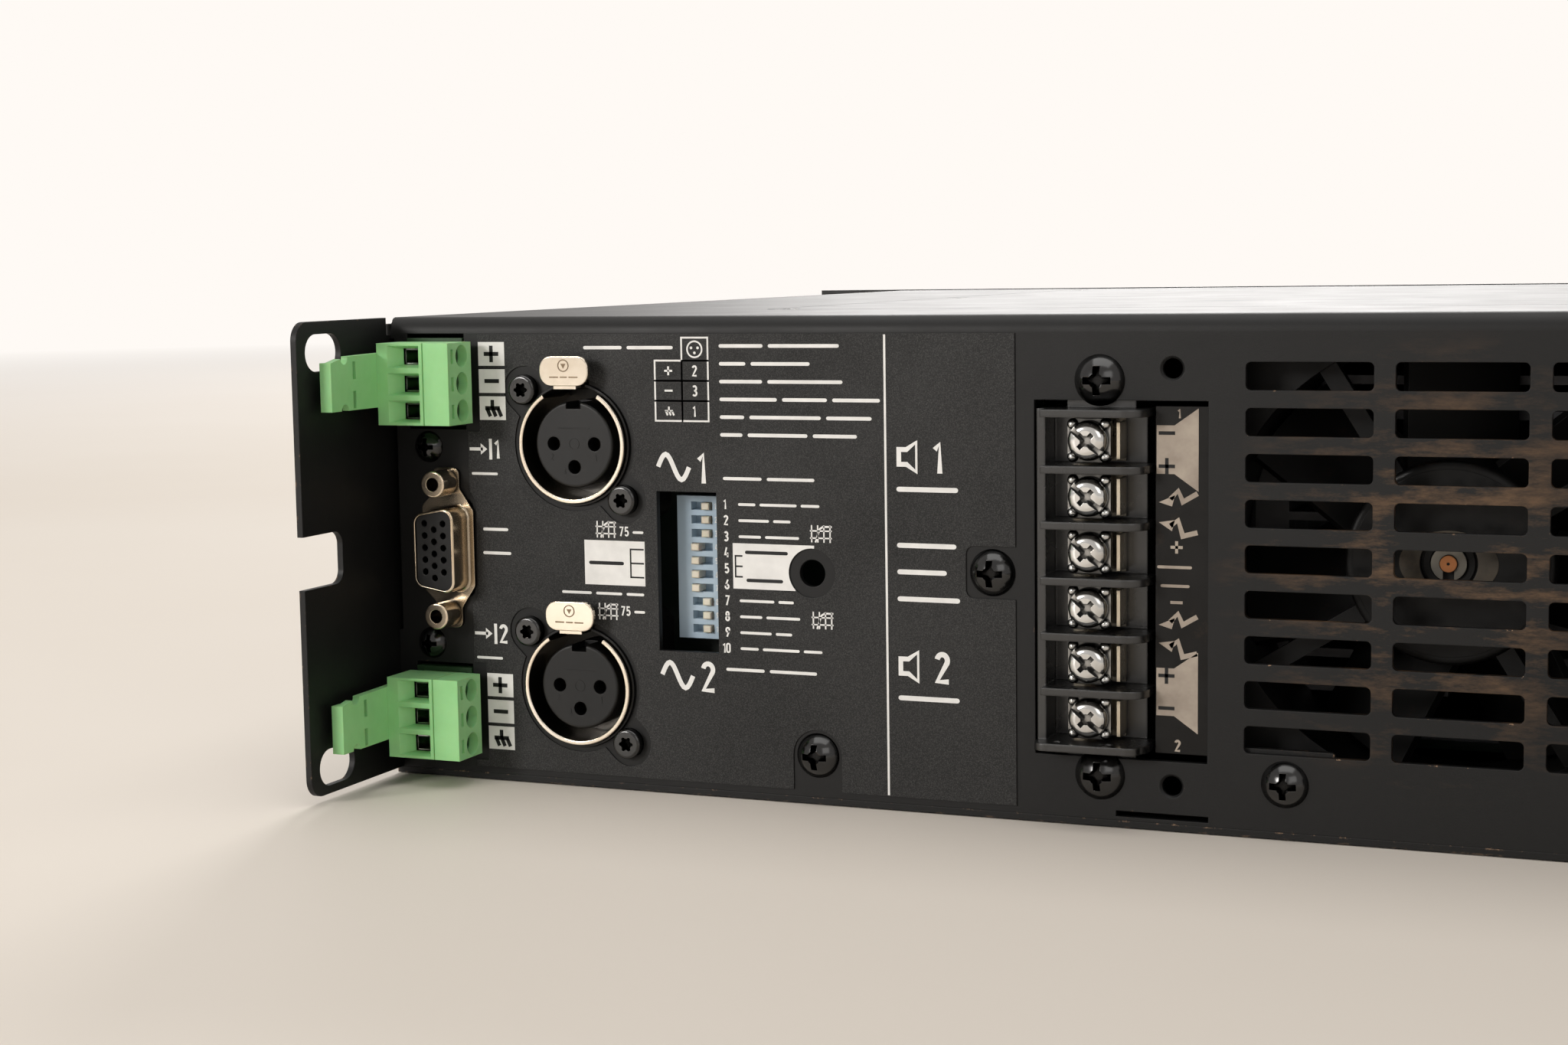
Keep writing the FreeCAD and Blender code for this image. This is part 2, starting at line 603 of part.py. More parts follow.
def build_xlr_housing(u, v):
    """Body behind the panel with a round well, a keyed contact insert and a slot for the latch."""
    back, face = INPUT_BOARD_W, -SHEET
    half = XLR_BODY_HALF
    body = rounded(u - half, u + half, v - half, v + half, back, face, 3.0)
    collar = rod(u, v, face, 0.6, XLR_BORE_R + 0.4)
    well = rod(u, v, back + 2.0, 9, XLR_BORE_R)
    housing = fuse(body, collar).cut(well)
    insert = rod(u, v, back + 1.9, XLR_INSERT_W, XLR_INSERT_R)
    insert = rounded_edges(insert, 0.5, lambda e: e.BoundBox.ZMin > XLR_INSERT_W - TINY)
    keyway = block(u - 1.5, u + 1.5, v + 6.6, v + 9, -5.0, 9)
    housing = fuse(housing, insert)
    cuts = [keyway]
    cuts += [rod(cu, cv, -9.2, 9, XLR_CONTACT_HOLE_R) for cu, cv in xlr_contact_places(u, v)]
    cuts.append(block(u - 2.7, u + 2.7, v + 9.9, v + 11.9, -10.2, 9))
    cuts += [rod(su, sv, back + 2, 0, SMALL_SHANK_R) for su, sv in xlr_screw_places(u, v)]
    return on_rear(housing.cut(cuts))


def xlr_contact_places(u, v):
    return [(u - 4.2, v + 0.1), (u + 4.2, v + 0.1), (u, v - 4.2)]


def build_xlr_ring(u, v):
    """Sprung metal shell, open at the top where the latch passes."""
    inner = XLR_RING_R - 0.8
    ring = tube(u, v, INPUT_BOARD_W + 2.2, 1.3, XLR_RING_R - 0.15, inner)
    lip = tube(u, v, 1.1, 1.7, XLR_RING_R, inner)
    lip = rounded_edges(lip, 0.2, lambda e: e.BoundBox.ZMin > 1.7 - TINY)
    ring = fuse(ring, lip)
    reach = 20.0
    side = reach * math.tan(math.radians(XLR_GAP_DEG))
    gap = prism([(u, v), (u + side, v + reach), (u - side, v + reach)], -20, 20)
    return on_rear(ring.cut(gap))


def build_xlr_latch(u, v):
    """Push tab, its cranked neck and the flat leg that slides in the housing."""
    tab = rounded(u - 5.0, u + 5.0, v + 11.0, v + 16.5, 3.1, 3.9, 2.4)
    tab = rounded_edges(tab, 0.2, lambda e: e.BoundBox.ZMin > 3.9 - TINY)
    neck = block(u - 2.3, u + 2.3, v + 10.4, v + 12.4, 2.4, 3.5)
    leg = block(u - 2.3, u + 2.3, v + 10.4, v + 11.2, -8.0, 3.2)
    return on_rear(fuse(tab, neck, leg))


def build_xlr_contacts():
    shapes = []
    for u, v in XLR_CENTRES:
        for cu, cv in xlr_contact_places(u, v):
            shapes.append(tube(cu, cv, -9.2, -4.0, XLR_CONTACT_HOLE_R, 0.9))
    return on_rear(group(shapes))


def build_xlr_screws():
    screw = torx_screw(5.6, SMALL_SHANK_R, 8.0)
    return on_rear(group([moved(screw, su, sv, 0) for u, v in XLR_CENTRES
                          for su, sv in xlr_screw_places(u, v)]))


# ---- pluggable screw terminals ----
def way_places(v):
    return [v + WAY, v, v - WAY]


def build_terminal_header(v):
    """Open box header with three square pins."""
    u0, u1 = BLOCK_U[0] + 0.2, BLOCK_U[1] - 0.2
    floor = INPUT_BOARD_W + HEADER_BACK_WALL
    inner = NOSE_HALF_H + 0.1
    shell = block(u0, u1, v - HEADER_HALF_H, v + HEADER_HALF_H, INPUT_BOARD_W, 0.3)
    shell = shell.cut(block(u0 + 1, u1 - 1, v - inner, v + inner, floor, 9))
    middle = (u0 + u1) / 2
    pins = [block(middle - 0.5, middle + 0.5, y - 0.5, y + 0.5, floor, -1.6)
            for y in way_places(v)]
    return on_rear(group([shell] + pins))


def build_terminal_plug(v):
    """Wire-entry half with funnels, plain screw-side half, nose and strain-relief tab."""
    u0, u1 = PLUG_U
    w0, w1 = PLUG_W
    half = PLUG_HALF_H
    body = block(u0, u1, v - half, v + half, w0, w1)
    nose = block(6.6, 15.7, v - NOSE_HALF_H, v + NOSE_HALF_H, INPUT_BOARD_W + 4.0, w0)
    ribs = [block(15.7, 15.95, y - 0.8, y + 0.8, INPUT_BOARD_W + 4.0, w0) for y in way_places(v)]
    plug = fuse(body, nose, *ribs)
    cuts = []
    for y in way_places(v):
        funnel = Part.makeLoft([rectangle(7.3, 14.0, y - 2.05, y + 2.05, w1 + 0.01),
                                rectangle(9.5, 12.6, y - 1.5, y + 1.5, w1 - 2.4)], True)
        cuts.append(funnel)
        cuts.append(block(9.5, 12.6, y - 1.5, y + 1.5, 8.4, w1))
        cuts.append(block(8.6, 18.2, y - 1.9, y + 1.9, 3.4, 8.6))
        cuts.append(Part.makeCylinder(2.1, 3, Vector(18.0, y, 6.0), Vector(1, 0, 0)))
        cuts.append(block(u1 - 0.8, u1 + 1, y - 1.3, y + 1.3, 9.0, 9.9))
        cuts.append(block(10.0, 12.5, y - 1.2, y + 1.2, -9, 4))
    seam = 14.7
    cuts.append(block(seam, seam + 0.2, v - half - 1, v + half + 1, w1 - 0.3, w1 + 1))
    cuts.append(block(seam, seam + 0.2, v + half - 0.3, v + half + 1, w0, w1 + 1))
    plug = plug.cut(cuts)
    return on_rear(fuse(plug, strain_tab(v)))


def rectangle(x0, x1, y0, y1, z):
    corners = [(x0, y0), (x1, y0), (x1, y1), (x0, y1), (x0, y0)]
    return Part.makePolygon([Vector(x, y, z) for x, y in corners])


def strain_tab(v):
    """A flat tab along the plug's side, drawn in towards its lipped end, notched and slotted."""
    low, high = v - TIE_TAB_DOWN, v + TIE_TAB_UP
    inner, outer = PLUG_U[0], PLUG_U[0] - TIE_TAB_T
    reach, end_high = TIE_TAB_REACH, high - TIE_TAB_DROP
    corners = [(low, 3.2), (high, 3.2), (high - 0.3, reach - 5.0), (end_high, reach), (low, reach)]
    outline = Part.makePolygon([Vector(outer, y, w) for y, w in corners + corners[:1]])
    plate = Part.Face(outline).extrude(Vector(TIE_TAB_T, 0, 0))
    lip = block(outer - 1.0, outer, low, end_high, reach - 2.6, reach)
    cuts = []
    for edge, middle in ((low, low + 1.9), (high - 0.5, high - 2.9)):
        cuts.append(Part.makeCylinder(1.2, 9, Vector(outer - 5, edge, reach - 4.4), Vector(1, 0, 0)))
        cuts.append(block(outer - 1, inner + 1, middle - 1.6, middle + 1.6, 18.2, 19.2))
    return fuse(plate, lip).cut(cuts)


def build_plug_clamps(v):
    """Three wire clamps with their slotted screws."""
    shapes = []
    for y in way_places(v):
        cage = block(8.9, 13.2, y - 1.8, y + 1.8, 3.6, 8.2)
        cage = cage.cut(block(9.7, 12.5, y - 1.2, y + 1.2, 3.0, 9.0))
        screw = Part.makeCylinder(1.4, 4.6, Vector(13.2, y, 6.0), Vector(1, 0, 0))
        head = Part.makeCylinder(1.85, 1.3, Vector(16.8, y, 6.0), Vector(1, 0, 0))
        screw = fuse(screw, head).cut(block(17.4, 19, y - 2, y + 2, 5.7, 6.3))
        shapes += [cage, screw]
    return on_rear(group(shapes))


# ---- data port ----
def data_outline(half_w, half_h, z0, z1, r):
    """A D shape: the side at +u is longer than the side at -u by the usual ten-degree slope."""
    short = half_h - 2 * half_w * math.tan(math.radians(10))
    points = [(-half_w, -short), (half_w, -half_h), (half_w, half_h), (-half_w, short)]
    solid = prism(points, z0, z1)
    upright = [e for e in solid.Edges if abs(e.Vertexes[0].Z - e.Vertexes[1].Z) > TINY]
    return moved(solid.makeFillet(r, upright), DATA_U, DATA_V, 0)


def inside_data_outline(edge):
    middle = edge.BoundBox.Center
    return abs(middle.x - DATA_U) < 4.4 and abs(middle.y - DATA_V) < 8.4


def data_screw_places():
    return [(DATA_U, DATA_V + s * DATA_PITCH / 2) for s in (-1, 1)]


def build_data_shell():
    upper = [(5.6, 7.2), (2.7, 11.4), (2.7, 15.3), (-2.9, 15.3), (-2.9, 10.4), (-5.4, 8.0)]
    lower = [(u, -v) for u, v in reversed(upper)]
    flange = prism(upper + lower, 0.0, DATA_FLANGE_T)
    upright = [e for e in flange.Edges if e.BoundBox.ZLength > DATA_FLANGE_T / 2]
    flange = moved(flange.makeFillet(1.3, upright), DATA_U, DATA_V, 0)
    sleeve = data_outline(4.35, 8.35, 0.0, DATA_REACH, 2.2)
    shell = fuse(flange, rounded_edges(sleeve, 0.35, lambda e: e.BoundBox.ZMin > DATA_REACH - 0.1))
    shell = shell.cut(data_outline(3.85, 7.85, -1, 9, 1.8))
    foot = [e for e in shell.Edges if abs(e.BoundBox.ZMin - DATA_FLANGE_T) < TINY
            and e.BoundBox.ZLength < TINY and inside_data_outline(e)]
    shell = shell.makeFillet(0.5, foot)
    return on_rear(shell.cut([rod(u, v, -1, 9, 1.6) for u, v in data_screw_places()]))


def build_data_insert():
    """Moulded insert with three staggered columns of five contact holes."""
    insert = fuse(data_outline(3.8, 7.8, -1.0, 6.0, 1.75),
                  data_outline(5.0, 9.1, INPUT_BOARD_W, -1.3, 1.2),
                  data_outline(3.8, 7.8, -1.4, -0.9, 1.75))
    cuts = []
    for column, shift in ((-1, 0.57), (0, -0.57), (1, 0.57)):
        for row in range(5):
            v = DATA_V + shift + (row - 2) * 2.29
            cuts.append(rod(DATA_U + column * 1.98, v, 1.0, 9, 0.62))
    return on_rear(insert.cut(cuts))


def build_data_jackscrews():
    """Two round female jackscrews; their shanks pass the panel."""
    outer_r, top = JACKSCREW_R, JACKSCREW_TOP
    screw = rod(0, 0, DATA_FLANGE_T, top, outer_r)
    screw = rounded_edges(screw, 0.3, lambda e: e.BoundBox.ZMin > top - TINY)
    screw = screw.cut(rod(0, 0, 2.0, top + 1, JACKSCREW_BORE_R))
    screw = fuse(screw, rod(0, 0, -5.0, DATA_FLANGE_T, 1.5))
    return on_rear(group([moved(screw, u, v, 0) for u, v in data_screw_places()]))


# ---- mode switches ----
def dip_way_v(index):
    return DIP_V + (4.5 - index) * DIP_PITCH


def build_dip_body():
    u0, u1 = DIP_U
    body = block(u0, u1, DIP_V - 13.3, DIP_V + 13.3, INPUT_BOARD_W, DIP_TOP_W)
    slots = [block(*DIP_SLOT_U, dip_way_v(i) - DIP_SLOT_HALF, dip_way_v(i) + DIP_SLOT_HALF,
                   DIP_TOP_W - DIP_SLOT_DEPTH, 0) for i in range(len(DIP_ON))]
    return on_rear(body.cut(slots))


def build_dip_slider(index):
    """A square actuator on a thin foot that runs in the body's slot."""
    v = dip_way_v(index)
    u = DIP_LEFT_U + DIP_TRAVEL * DIP_ON[index]
    half = DIP_SLOT_HALF - CLEAR
    high = DIP_TOP_W + DIP_NUB_UP
    nub = block(u - DIP_NUB / 2, u + DIP_NUB / 2, v - half, v + half,
                DIP_TOP_W - DIP_SLOT_DEPTH + CLEAR, high)
    return on_rear(nub.makeChamfer(0.15, [e for e in nub.Edges if e.BoundBox.ZMin > high - TINY]))


# ---- speaker terminals ----
def barrier_way_v(index):
    return BARRIER_V + (BARRIER_WAYS / 2 - 0.5 - index) * BARRIER_PITCH


def barrier_fin(v):
    """A fin between two ways: square at the wall side, swept back at the open side."""
    half_t = BARRIER_FIN_T / 2
    fin = block(BARRIER_WALL_U[1] - 0.1, BARRIER_FIN_U, v - half_t, v + half_t,
                BARRIER_FLOOR_W - 0.1, BARRIER_FIN_W)
    swept = [e for e in fin.Edges
             if e.BoundBox.XMin > BARRIER_FIN_U - 0.1 and e.BoundBox.ZMin > BARRIER_FIN_W - 0.1]
    return fin.makeFillet(4.0, swept)


def build_barrier_block():
    """Moulded base, side wall, seven fins, end lugs behind the panel and a foot shelf."""
    half = BARRIER_PITCH * BARRIER_WAYS / 2
    end = half + BARRIER_FIN_T / 2
    low, high = BARRIER_V - end, BARRIER_V + end
    left = BARRIER_WALL_U[0]
    base = block(left, BARRIER_BASE_U, low, high, -BARRIER_DEPTH, BARRIER_FLOOR_W)
    wall = block(*BARRIER_WALL_U, low, high, -BARRIER_DEPTH, 1.6)
    fins = [barrier_fin(BARRIER_V + half - i * BARRIER_PITCH) for i in range(BARRIER_WAYS + 1)]
    lugs = []
    for v, s in zip(BARRIER_LUG_V, (1, -1)):
        v0, v1 = sorted((BARRIER_V + s * (end - 0.5), v + s * 4.4))
        lugs.append(block(BARRIER_U - 6, BARRIER_U + 6, v0, v1, -8.0, -SHEET - 0.02))
    reach = BARRIER_FIN_W + 0.8
    shelf = block(left, BARRIER_FIN_U - 1, low, low + BARRIER_FIN_T, BARRIER_FLOOR_W - 0.1, reach)
    shelf = rounded_edges(shelf, 2.0,
                          lambda e: e.BoundBox.ZMin > reach - 0.1 and e.BoundBox.XLength < 1)
    body = fuse(base, wall, shelf, *(fins + lugs))
    cuts = [rod(BARRIER_U, v, -7.0, 9, LARGE_SHANK_R) for v in BARRIER_LUG_V]
    for u in (left + 3.8, left + 12.8):
        cuts.append(Part.makeCylinder(0.8, 9, Vector(u, low - 4, 3.2), Vector(0, 1, 0)))
    for i in range(BARRIER_WAYS):
        cuts.append(rod(TERMINAL_U, barrier_way_v(i), -12.0, 9, TERMINAL_SCREW_R + CLEAR))
    return on_rear(body.cut(cuts))


def build_barrier_terminals():
    """Six plates under the screws, each turned up at the open side to stop the wire."""
    plate_top = BARRIER_FLOOR_W + 1.0
    left, right = TERMINAL_U - 3.9, TERMINAL_U + 5.4
    shapes = []
    for i in range(BARRIER_WAYS):
        v = barrier_way_v(i)
        plate = block(left, right, v - 3.7, v + 3.7, BARRIER_FLOOR_W, plate_top)
        stop = block(right - 0.6, right, v - 3.1, v + 3.1, plate_top, TERMINAL_TOP_W)
        hole = rod(TERMINAL_U, v, -PAST, 0, TERMINAL_SCREW_R + CLEAR)
        shapes.append(fuse(plate, stop).cut(hole))
    return on_rear(group(shapes))


def terminal_screw():
    """A domed head with a slot across a cross recess, on its collar and shank."""
    top = 2.5
    head = rod(0, 0, 0, top, TERMINAL_HEAD_R)
    head = rounded_edges(head, 1.6, lambda e: e.BoundBox.ZMin > top - TINY)
    recess = cross_recess(TERMINAL_HEAD_R, top, 1.5)
    recess.rotate(Vector(0, 0, 0), Vector(0, 0, 1), 45)
    slit = block(-TERMINAL_HEAD_R, TERMINAL_HEAD_R, -0.5, 0.5, top - 0.9, top + 1)
    slit.rotate(Vector(0, 0, 0), Vector(0, 0, 1), -40)
    head = head.cut([recess, slit])
    return fuse(head, rod(0, 0, -11.2, 0, TERMINAL_SCREW_R))


def clamp_washer():
    """A square captive washer with a rounded boss at each corner to hold the wire in."""
    half = 3.75
    washer = rounded(-half, half, -half, half, -1.2, 0, 0.9)
    boss = half - 0.95
    for x in (-boss, boss):
        for y in (-boss, boss):
            washer = washer.fuse(Part.makeSphere(0.95, Vector(x, y, 0.05)))
    inner = TERMINAL_HEAD_R + 0.05
    below = block(-PAST, PAST, -PAST, PAST, -PAST, -1.2)
    return washer.cut([rod(0, 0, -PAST, PAST, TERMINAL_SCREW_R), rod(0, 0, 0, PAST, inner), below])


def build_barrier_screws():
    """Six combination-head screws, each with its captive clamp washer."""
    shapes = []
    for i in range(BARRIER_WAYS):
        for piece in (terminal_screw(), clamp_washer()):
            shapes.append(moved(piece, TERMINAL_U, barrier_way_v(i), TERMINAL_TOP_W))
    return on_rear(group(shapes))


def build_output_legend_card():
    """Printed film behind the terminal strip's window, beside the strip."""
    return on_rear(block(*LEGEND_CARD, -SHEET - 0.5, -SHEET))


def build_input_overlay():
    """Thin printed overlay on the rear panel, cut clear of every connector and screw."""
    u0, u1, v0, v1 = OVERLAY
    sheet = block(u0, u1, v0, v1, 0, OVERLAY_T)
    cuts = []
    for u, v in XLR_CENTRES:
        cuts.append(rod(u, v, -PAST, PAST, XLR_BORE_R + 1.4))
        cuts += [rod(su, sv, -PAST, PAST, 4.4) for su, sv in xlr_screw_places(u, v)]
        cuts.append(block(u - 3.4, u + 3.4, v + 9, v + 13.0, -PAST, PAST))
        near, far = 7.0, 13.2
        cuts.append(prism([(u - far, v + near), (u - near, v + far), (u + far, v - near),
                           (u + near, v - far)], -PAST, PAST))
    for v in BLOCK_V:
        cuts.append(block(0, PLUG_U[1] + 0.15, v - 9.4, v + 9.4, -PAST, PAST))
    cuts.append(rounded(0, DATA_U + 6.0, DATA_V - 11.2, DATA_V + 11.2, -PAST, PAST, 3.0))
    w0, w1, h0, h1 = DIP_WINDOW
    cuts.append(block(w0, w1, h0, h1, -PAST, PAST))
    cuts.append(rod(*TEST_HOLE, -PAST, PAST, TEST_HOLE_R + 2.0))
    u, v, head = STANDOFF_SCREWS[0]
    cuts.append(rounded(u - 4.8, u + 20, v - 4.6, v + 4.6, -PAST, PAST, 1.5))
    u, v, head = STANDOFF_SCREWS[1]
    cuts.append(rod(u, v, -PAST, PAST, 4.7))
    cuts.append(block(u - 4.7, u + 4.7, 0, v, -PAST, PAST))
    return on_rear(sheet.cut(cuts))


# ---- fan ----
def fan_place(shape):
    return on_rear(moved(shape, FAN[0], FAN[1], FAN_FACE_W))


def fan_hole_places():
    p = FAN_HOLE_PITCH / 2
    return [(sx * p, sy * p) for sx in (-1, 1) for sy in (-1, 1)]


def build_fan_frame():
    """Square duct with corner holes, four spokes and a hub cap that carries the bearing."""
    half = FAN_SIZE / 2
    duct = rounded(-half, half, -half, half, -FAN_DEPTH, 0, 4.0)
    duct = duct.cut(rod(0, 0, -99, 9, FAN_BORE_R))
    spokes = []
    for i in range(4):
        arm = block(-1.6, 1.6, FAN_HUB_R - 2, FAN_BORE_R + 0.5, -3.2, -0.8)
        arm.rotate(Vector(0, 0, 0), Vector(0, 0, 1), 90 * i + 32)
        spokes.append(arm)
    cap = rounded_edges(rod(0, 0, -3.2, 0, FAN_HUB_R), 1.0, lambda e: e.BoundBox.ZMin > -TINY)
    frame = fuse(duct, cap, *spokes)
    recess = rod(0, 0, -1.2, 9, 4.6)
    sleeve = tube(0, 0, -1.2, -0.5, 4.2, 3.1)
    frame = frame.cut([recess, rod(0, 0, -99, 9, 1.55)]).fuse(sleeve)
    for x, y in fan_hole_places():
        frame = frame.cut(rod(x, y, -99, 9, 2.15))
    return fan_place(frame)


def build_fan_rotor():
    """Hub cup, seven pitched blades and the shaft whose end shows in the hub cap."""
    low, high = -FAN_DEPTH + 1.0, -4.0
    hub = rounded_edges(rod(0, 0, low, high, FAN_HUB_R - 0.5), 1.5,
                        lambda e: e.BoundBox.ZMax < low + TINY)
    swept = tube(0, 0, low + 1.5, high - 1.0, FAN_BORE_R - 1.0, FAN_HUB_R - 1.5)
    blades = []
    for i in range(FAN_BLADES):
        blade = block(-10.5, 10.5, FAN_HUB_R - 2, FAN_BORE_R + 3, -0.8, 0.8)
        blade.rotate(Vector(0, 0, 0), Vector(0, 1, 0), 38)
        blade.translate(Vector(0, 0, (low + high) / 2))
        blade.rotate(Vector(0, 0, 0), Vector(0, 0, 1), 360 / FAN_BLADES * i)
        blades.append(blade.common(swept))
    shaft = rod(0, 0, high, 0.5, 1.5)
    groove = tube(0, 0, -0.3, 0.1, 2.0, 1.2)
    return fan_place(fuse(hub, shaft, *blades).cut(groove))


def build_fan_clip():
    """E-shaped retaining clip in the shaft's groove."""
    clip = tube(0, 0, -0.3, 0.1, 2.9, 1.2)
    clip = clip.cut(block(-0.9, 0.9, -9, 0, -PAST, PAST))
    return fan_place(clip)


# ---- boards and power parts ----
def build_input_board():
    board = rounded(3.0, 127.0, 4.2, 84.4, INPUT_BOARD_W - BOARD_T, INPUT_BOARD_W, 1.5)
    for u, v, head in STANDOFF_SCREWS:
        board = board.cut(rod(u, v, INPUT_BOARD_W - PAST, 0, SMALL_SHANK_R + CLEAR))
    socket = block(80.0, 110.0, 62.0, 69.0, INPUT_BOARD_W - BOARD_T - 6,
                   INPUT_BOARD_W - BOARD_T)
    return on_rear(fuse(board, socket))


def build_amp_board():
    x0, x1, y0, y1 = AMP_BOARD
    z = BASE_Z + AMP_BOARD_V
    board = block(x0, x1, y0, y1, z, z + BOARD_T)
    holes = [rod(x, y, z - 9, z + 9, SMALL_SHANK_R + CLEAR) for x, y in amp_standoff_places()]
    return board.cut(holes)


def build_board_standoffs():
    """Hexagonal spacers: rear panel to input board, floor to main board, face to control board."""
    shapes = []
    for u, v, head in STANDOFF_SCREWS:
        shank_r = shank_radius(head)
        meet = INPUT_BOARD_W - BOARD_T + BOARD_SCREW_L
        spacer = hexagon(shank_r + 1.4, INPUT_BOARD_W, -SHEET)
        bores = [rod(0, 0, meet, 0, shank_r), rod(0, 0, INPUT_BOARD_W - 1, meet, SMALL_SHANK_R)]
        shapes.append(on_rear(moved(spacer.cut(bores), u, v, 0)))
    for x, y in amp_standoff_places():
        spacer = hexagon(3.2, SHEET, AMP_BOARD_V).cut(rod(0, 0, -9, 99, SMALL_SHANK_R))
        shapes.append(moved(spacer, x, y, BASE_Z))
    for x, z in control_standoff_places():
        spacer = hexagon(3.0, -CONTROL_BOARD_Y, 0)
        spacer = spacer.cut(rod(0, 0, -CONTROL_BOARD_Y - 1, -CONTROL_BOARD_Y + 3, SMALL_SHANK_R))
        shapes.append(on_front(moved(spacer, x, z, 0)))
    return group(shapes)


def hexagon(r, z0, z1):
    return prism([(r * math.cos(math.radians(60 * i)), r * math.sin(math.radians(60 * i)))
                  for i in range(6)], z0, z1)


def build_heat_sink():
    """Extruded tunnel behind the fan: thick side walls, fins towards the middle."""
    near = FAN_FACE_W - FAN_DEPTH
    far = near - SINK_LENGTH
    u0, u1 = SINK_U
    v0, v1 = SINK_V
    tunnel = block(u0, u1, v0, v1, far, near)
    tunnel = tunnel.cut(block(u0 + SINK_WALL, u1 - SINK_WALL, v0 + SINK_SKIN, v1 - SINK_SKIN,
                              far - 1, near + 1))
    reach, thick = SINK_FIN
    pitch = (v1 - v0 - 2 * SINK_SKIN) / (SINK_FINS + 1)
    fins = []
    for i in range(SINK_FINS):
        v = v0 + SINK_SKIN + pitch * (i + 1)
        low, high = v - thick / 2, v + thick / 2
        fins.append(block(u0 + SINK_WALL - 1, u0 + SINK_WALL + reach, low, high, far, near))
        fins.append(block(u1 - SINK_WALL - reach, u1 - SINK_WALL + 1, low, high, far, near))
    places = [(FAN[0] + x, FAN[1] + y) for x, y in fan_hole_places()]
    feet = [block(u - 4, u + 4, v - 4, v0 + 1, near - 6, near) for u, v in places if v < v0]
    holes = [rod(u, v, near - 12, near + 1, FAN_SCREW_R) for u, v in places]
    for u_face, s, w in device_places():
        holes.append(across(u_face - s * (SINK_WALL - 1), u_face, DEVICE_SCREW_V, w, SMALL_SHANK_R))
    return on_rear(fuse(tunnel, *fins, *feet).cut(holes))


def device_places():
    """Outer face of the heat sink's wall, outward side and w of each output transistor."""
    return [(u_face, s, -58.0 - i * DEVICE_PITCH) for u_face, s in zip(SINK_U, (-1, 1))
            for i in range(4)]


def across(u0, u1, v, w, r):
    """A rod along u."""
    return Part.makeCylinder(r, abs(u1 - u0), Vector(min(u0, u1), v, w), Vector(1, 0, 0))


def build_output_transistors():
    """Four plastic-bodied devices on each side wall of the heat sink, leads down to the board."""
    body_w, body_h, body_t = DEVICE
    shapes = []
    for u_face, s, w in device_places():
        u0, u1 = sorted((u_face, u_face + s * body_t))
        body = block(u0, u1, DEVICE_V, DEVICE_V + body_h, w - body_w / 2, w + body_w / 2)
        m0, m1 = sorted((u_face + s * 2.0, u_face + s * 2.8))
        leads = [block(m0, m1, AMP_BOARD_V + BOARD_T, DEVICE_V + 0.5, w + k * 5.4 - 0.6,
                       w + k * 5.4 + 0.6) for k in (-1, 0, 1)]
        hole = across(u0 - 1, u1 + 1, DEVICE_SCREW_V, w, SMALL_SHANK_R + CLEAR)
        shapes.append(fuse(body, *leads).cut(hole))
    return on_rear(group(shapes))


def build_transformer():
    """Toroidal transformer with rubber pad, dished plate and centre bolt."""
    x, y = TRANSFORMER
    floor = BASE_Z + SHEET
    low = floor + 2.0
    high = low + TRANSFORMER_H
    pad = tube(x, y, floor, low, TRANSFORMER_R - 3, 8.0)
    ring = tube(x, y, low, high, TRANSFORMER_R, TRANSFORMER_HOLE_R)
    ring = rounded_edges(ring, 7.0, lambda e: e.BoundBox.XLength > 20 and e.BoundBox.ZLength < TINY)
    plate = tube(x, y, high, high + 2.0, 34.0, 4.1)
    bolt = fuse(moved(hexagon(6.5, 0, 5.0), x, y, high + 2.0), rod(x, y, floor, high + 2.0, 4.0))
    return group([pad, ring, plate, bolt])


def build_reservoir_capacitors():
    z = BOARD_TOP_Z
    shapes = []
    for x in (88.0, 128.0, 168.0):
        for y in (80.0, 122.0):
            can = rod(x, y, z, z + 55.0, 17.5)
            shapes.append(rounded_edges(can, 1.5, lambda e: e.BoundBox.ZMin > z + 54.9))
    return group(shapes)


def build_mains_inlet():
    """Three-pin mains inlet: flange outside the panel, socket body behind it, three blades."""
    u, v = INLET
    flange = rounded(u - 12.0, u + 12.0, v - 25.0, v + 25.0, 0, 3.0, 3.5)
    body = rounded(u - 10.0, u + 10.0, v - 13.7, v + 13.7, -24.0, 0, 1.8)
    socket = rounded(u - 8.2, u + 8.2, v - 12.2, v + 12.2, -15.0, 9, 2.5)
    holes = []
    for s in (-1, 1):
        holes.append(rod(u, v + s * 20.0, -PAST, PAST, 1.7))
        holes.append(taper(u, v + s * 20.0, 1.3, 3.01, 1.7, 3.41))
    shell = fuse(flange, body).cut([socket] + holes)
    blades = [block(u + du - 2.0, u + du + 2.0, v + dv - 1.0, v + dv + 1.0, -30.0, 0)
              for du, dv in INLET_BLADES]
    return on_rear(group([shell.cut(blades)] + blades))


def cable(points, r):
    """A round lead along straight runs, with ball corners."""
    parts = []
    for a, b in zip(points[:-1], points[1:]):
        a, b = Vector(*a), Vector(*b)
        run = b - a
        parts.append(Part.makeCylinder(r, run.Length, a, run))
    parts += [Part.makeSphere(r, Vector(*p)) for p in points[1:-1]]
    return fuse(*parts)


def speaker_leads():
    """From the terminal strip forward, then down to the main board; upper leads run further."""
    x = HALF_W - TERMINAL_U
    leads = []
    for i in range(BARRIER_WAYS):
        z = BASE_Z + barrier_way_v(i)
        y = 222.0 - 4.2 * (BARRIER_WAYS - i)
        leads.append(cable([(x, BODY_D - BARRIER_DEPTH, z), (x, y, z), (x, y, BOARD_TOP_Z)], 1.4))
    return leads


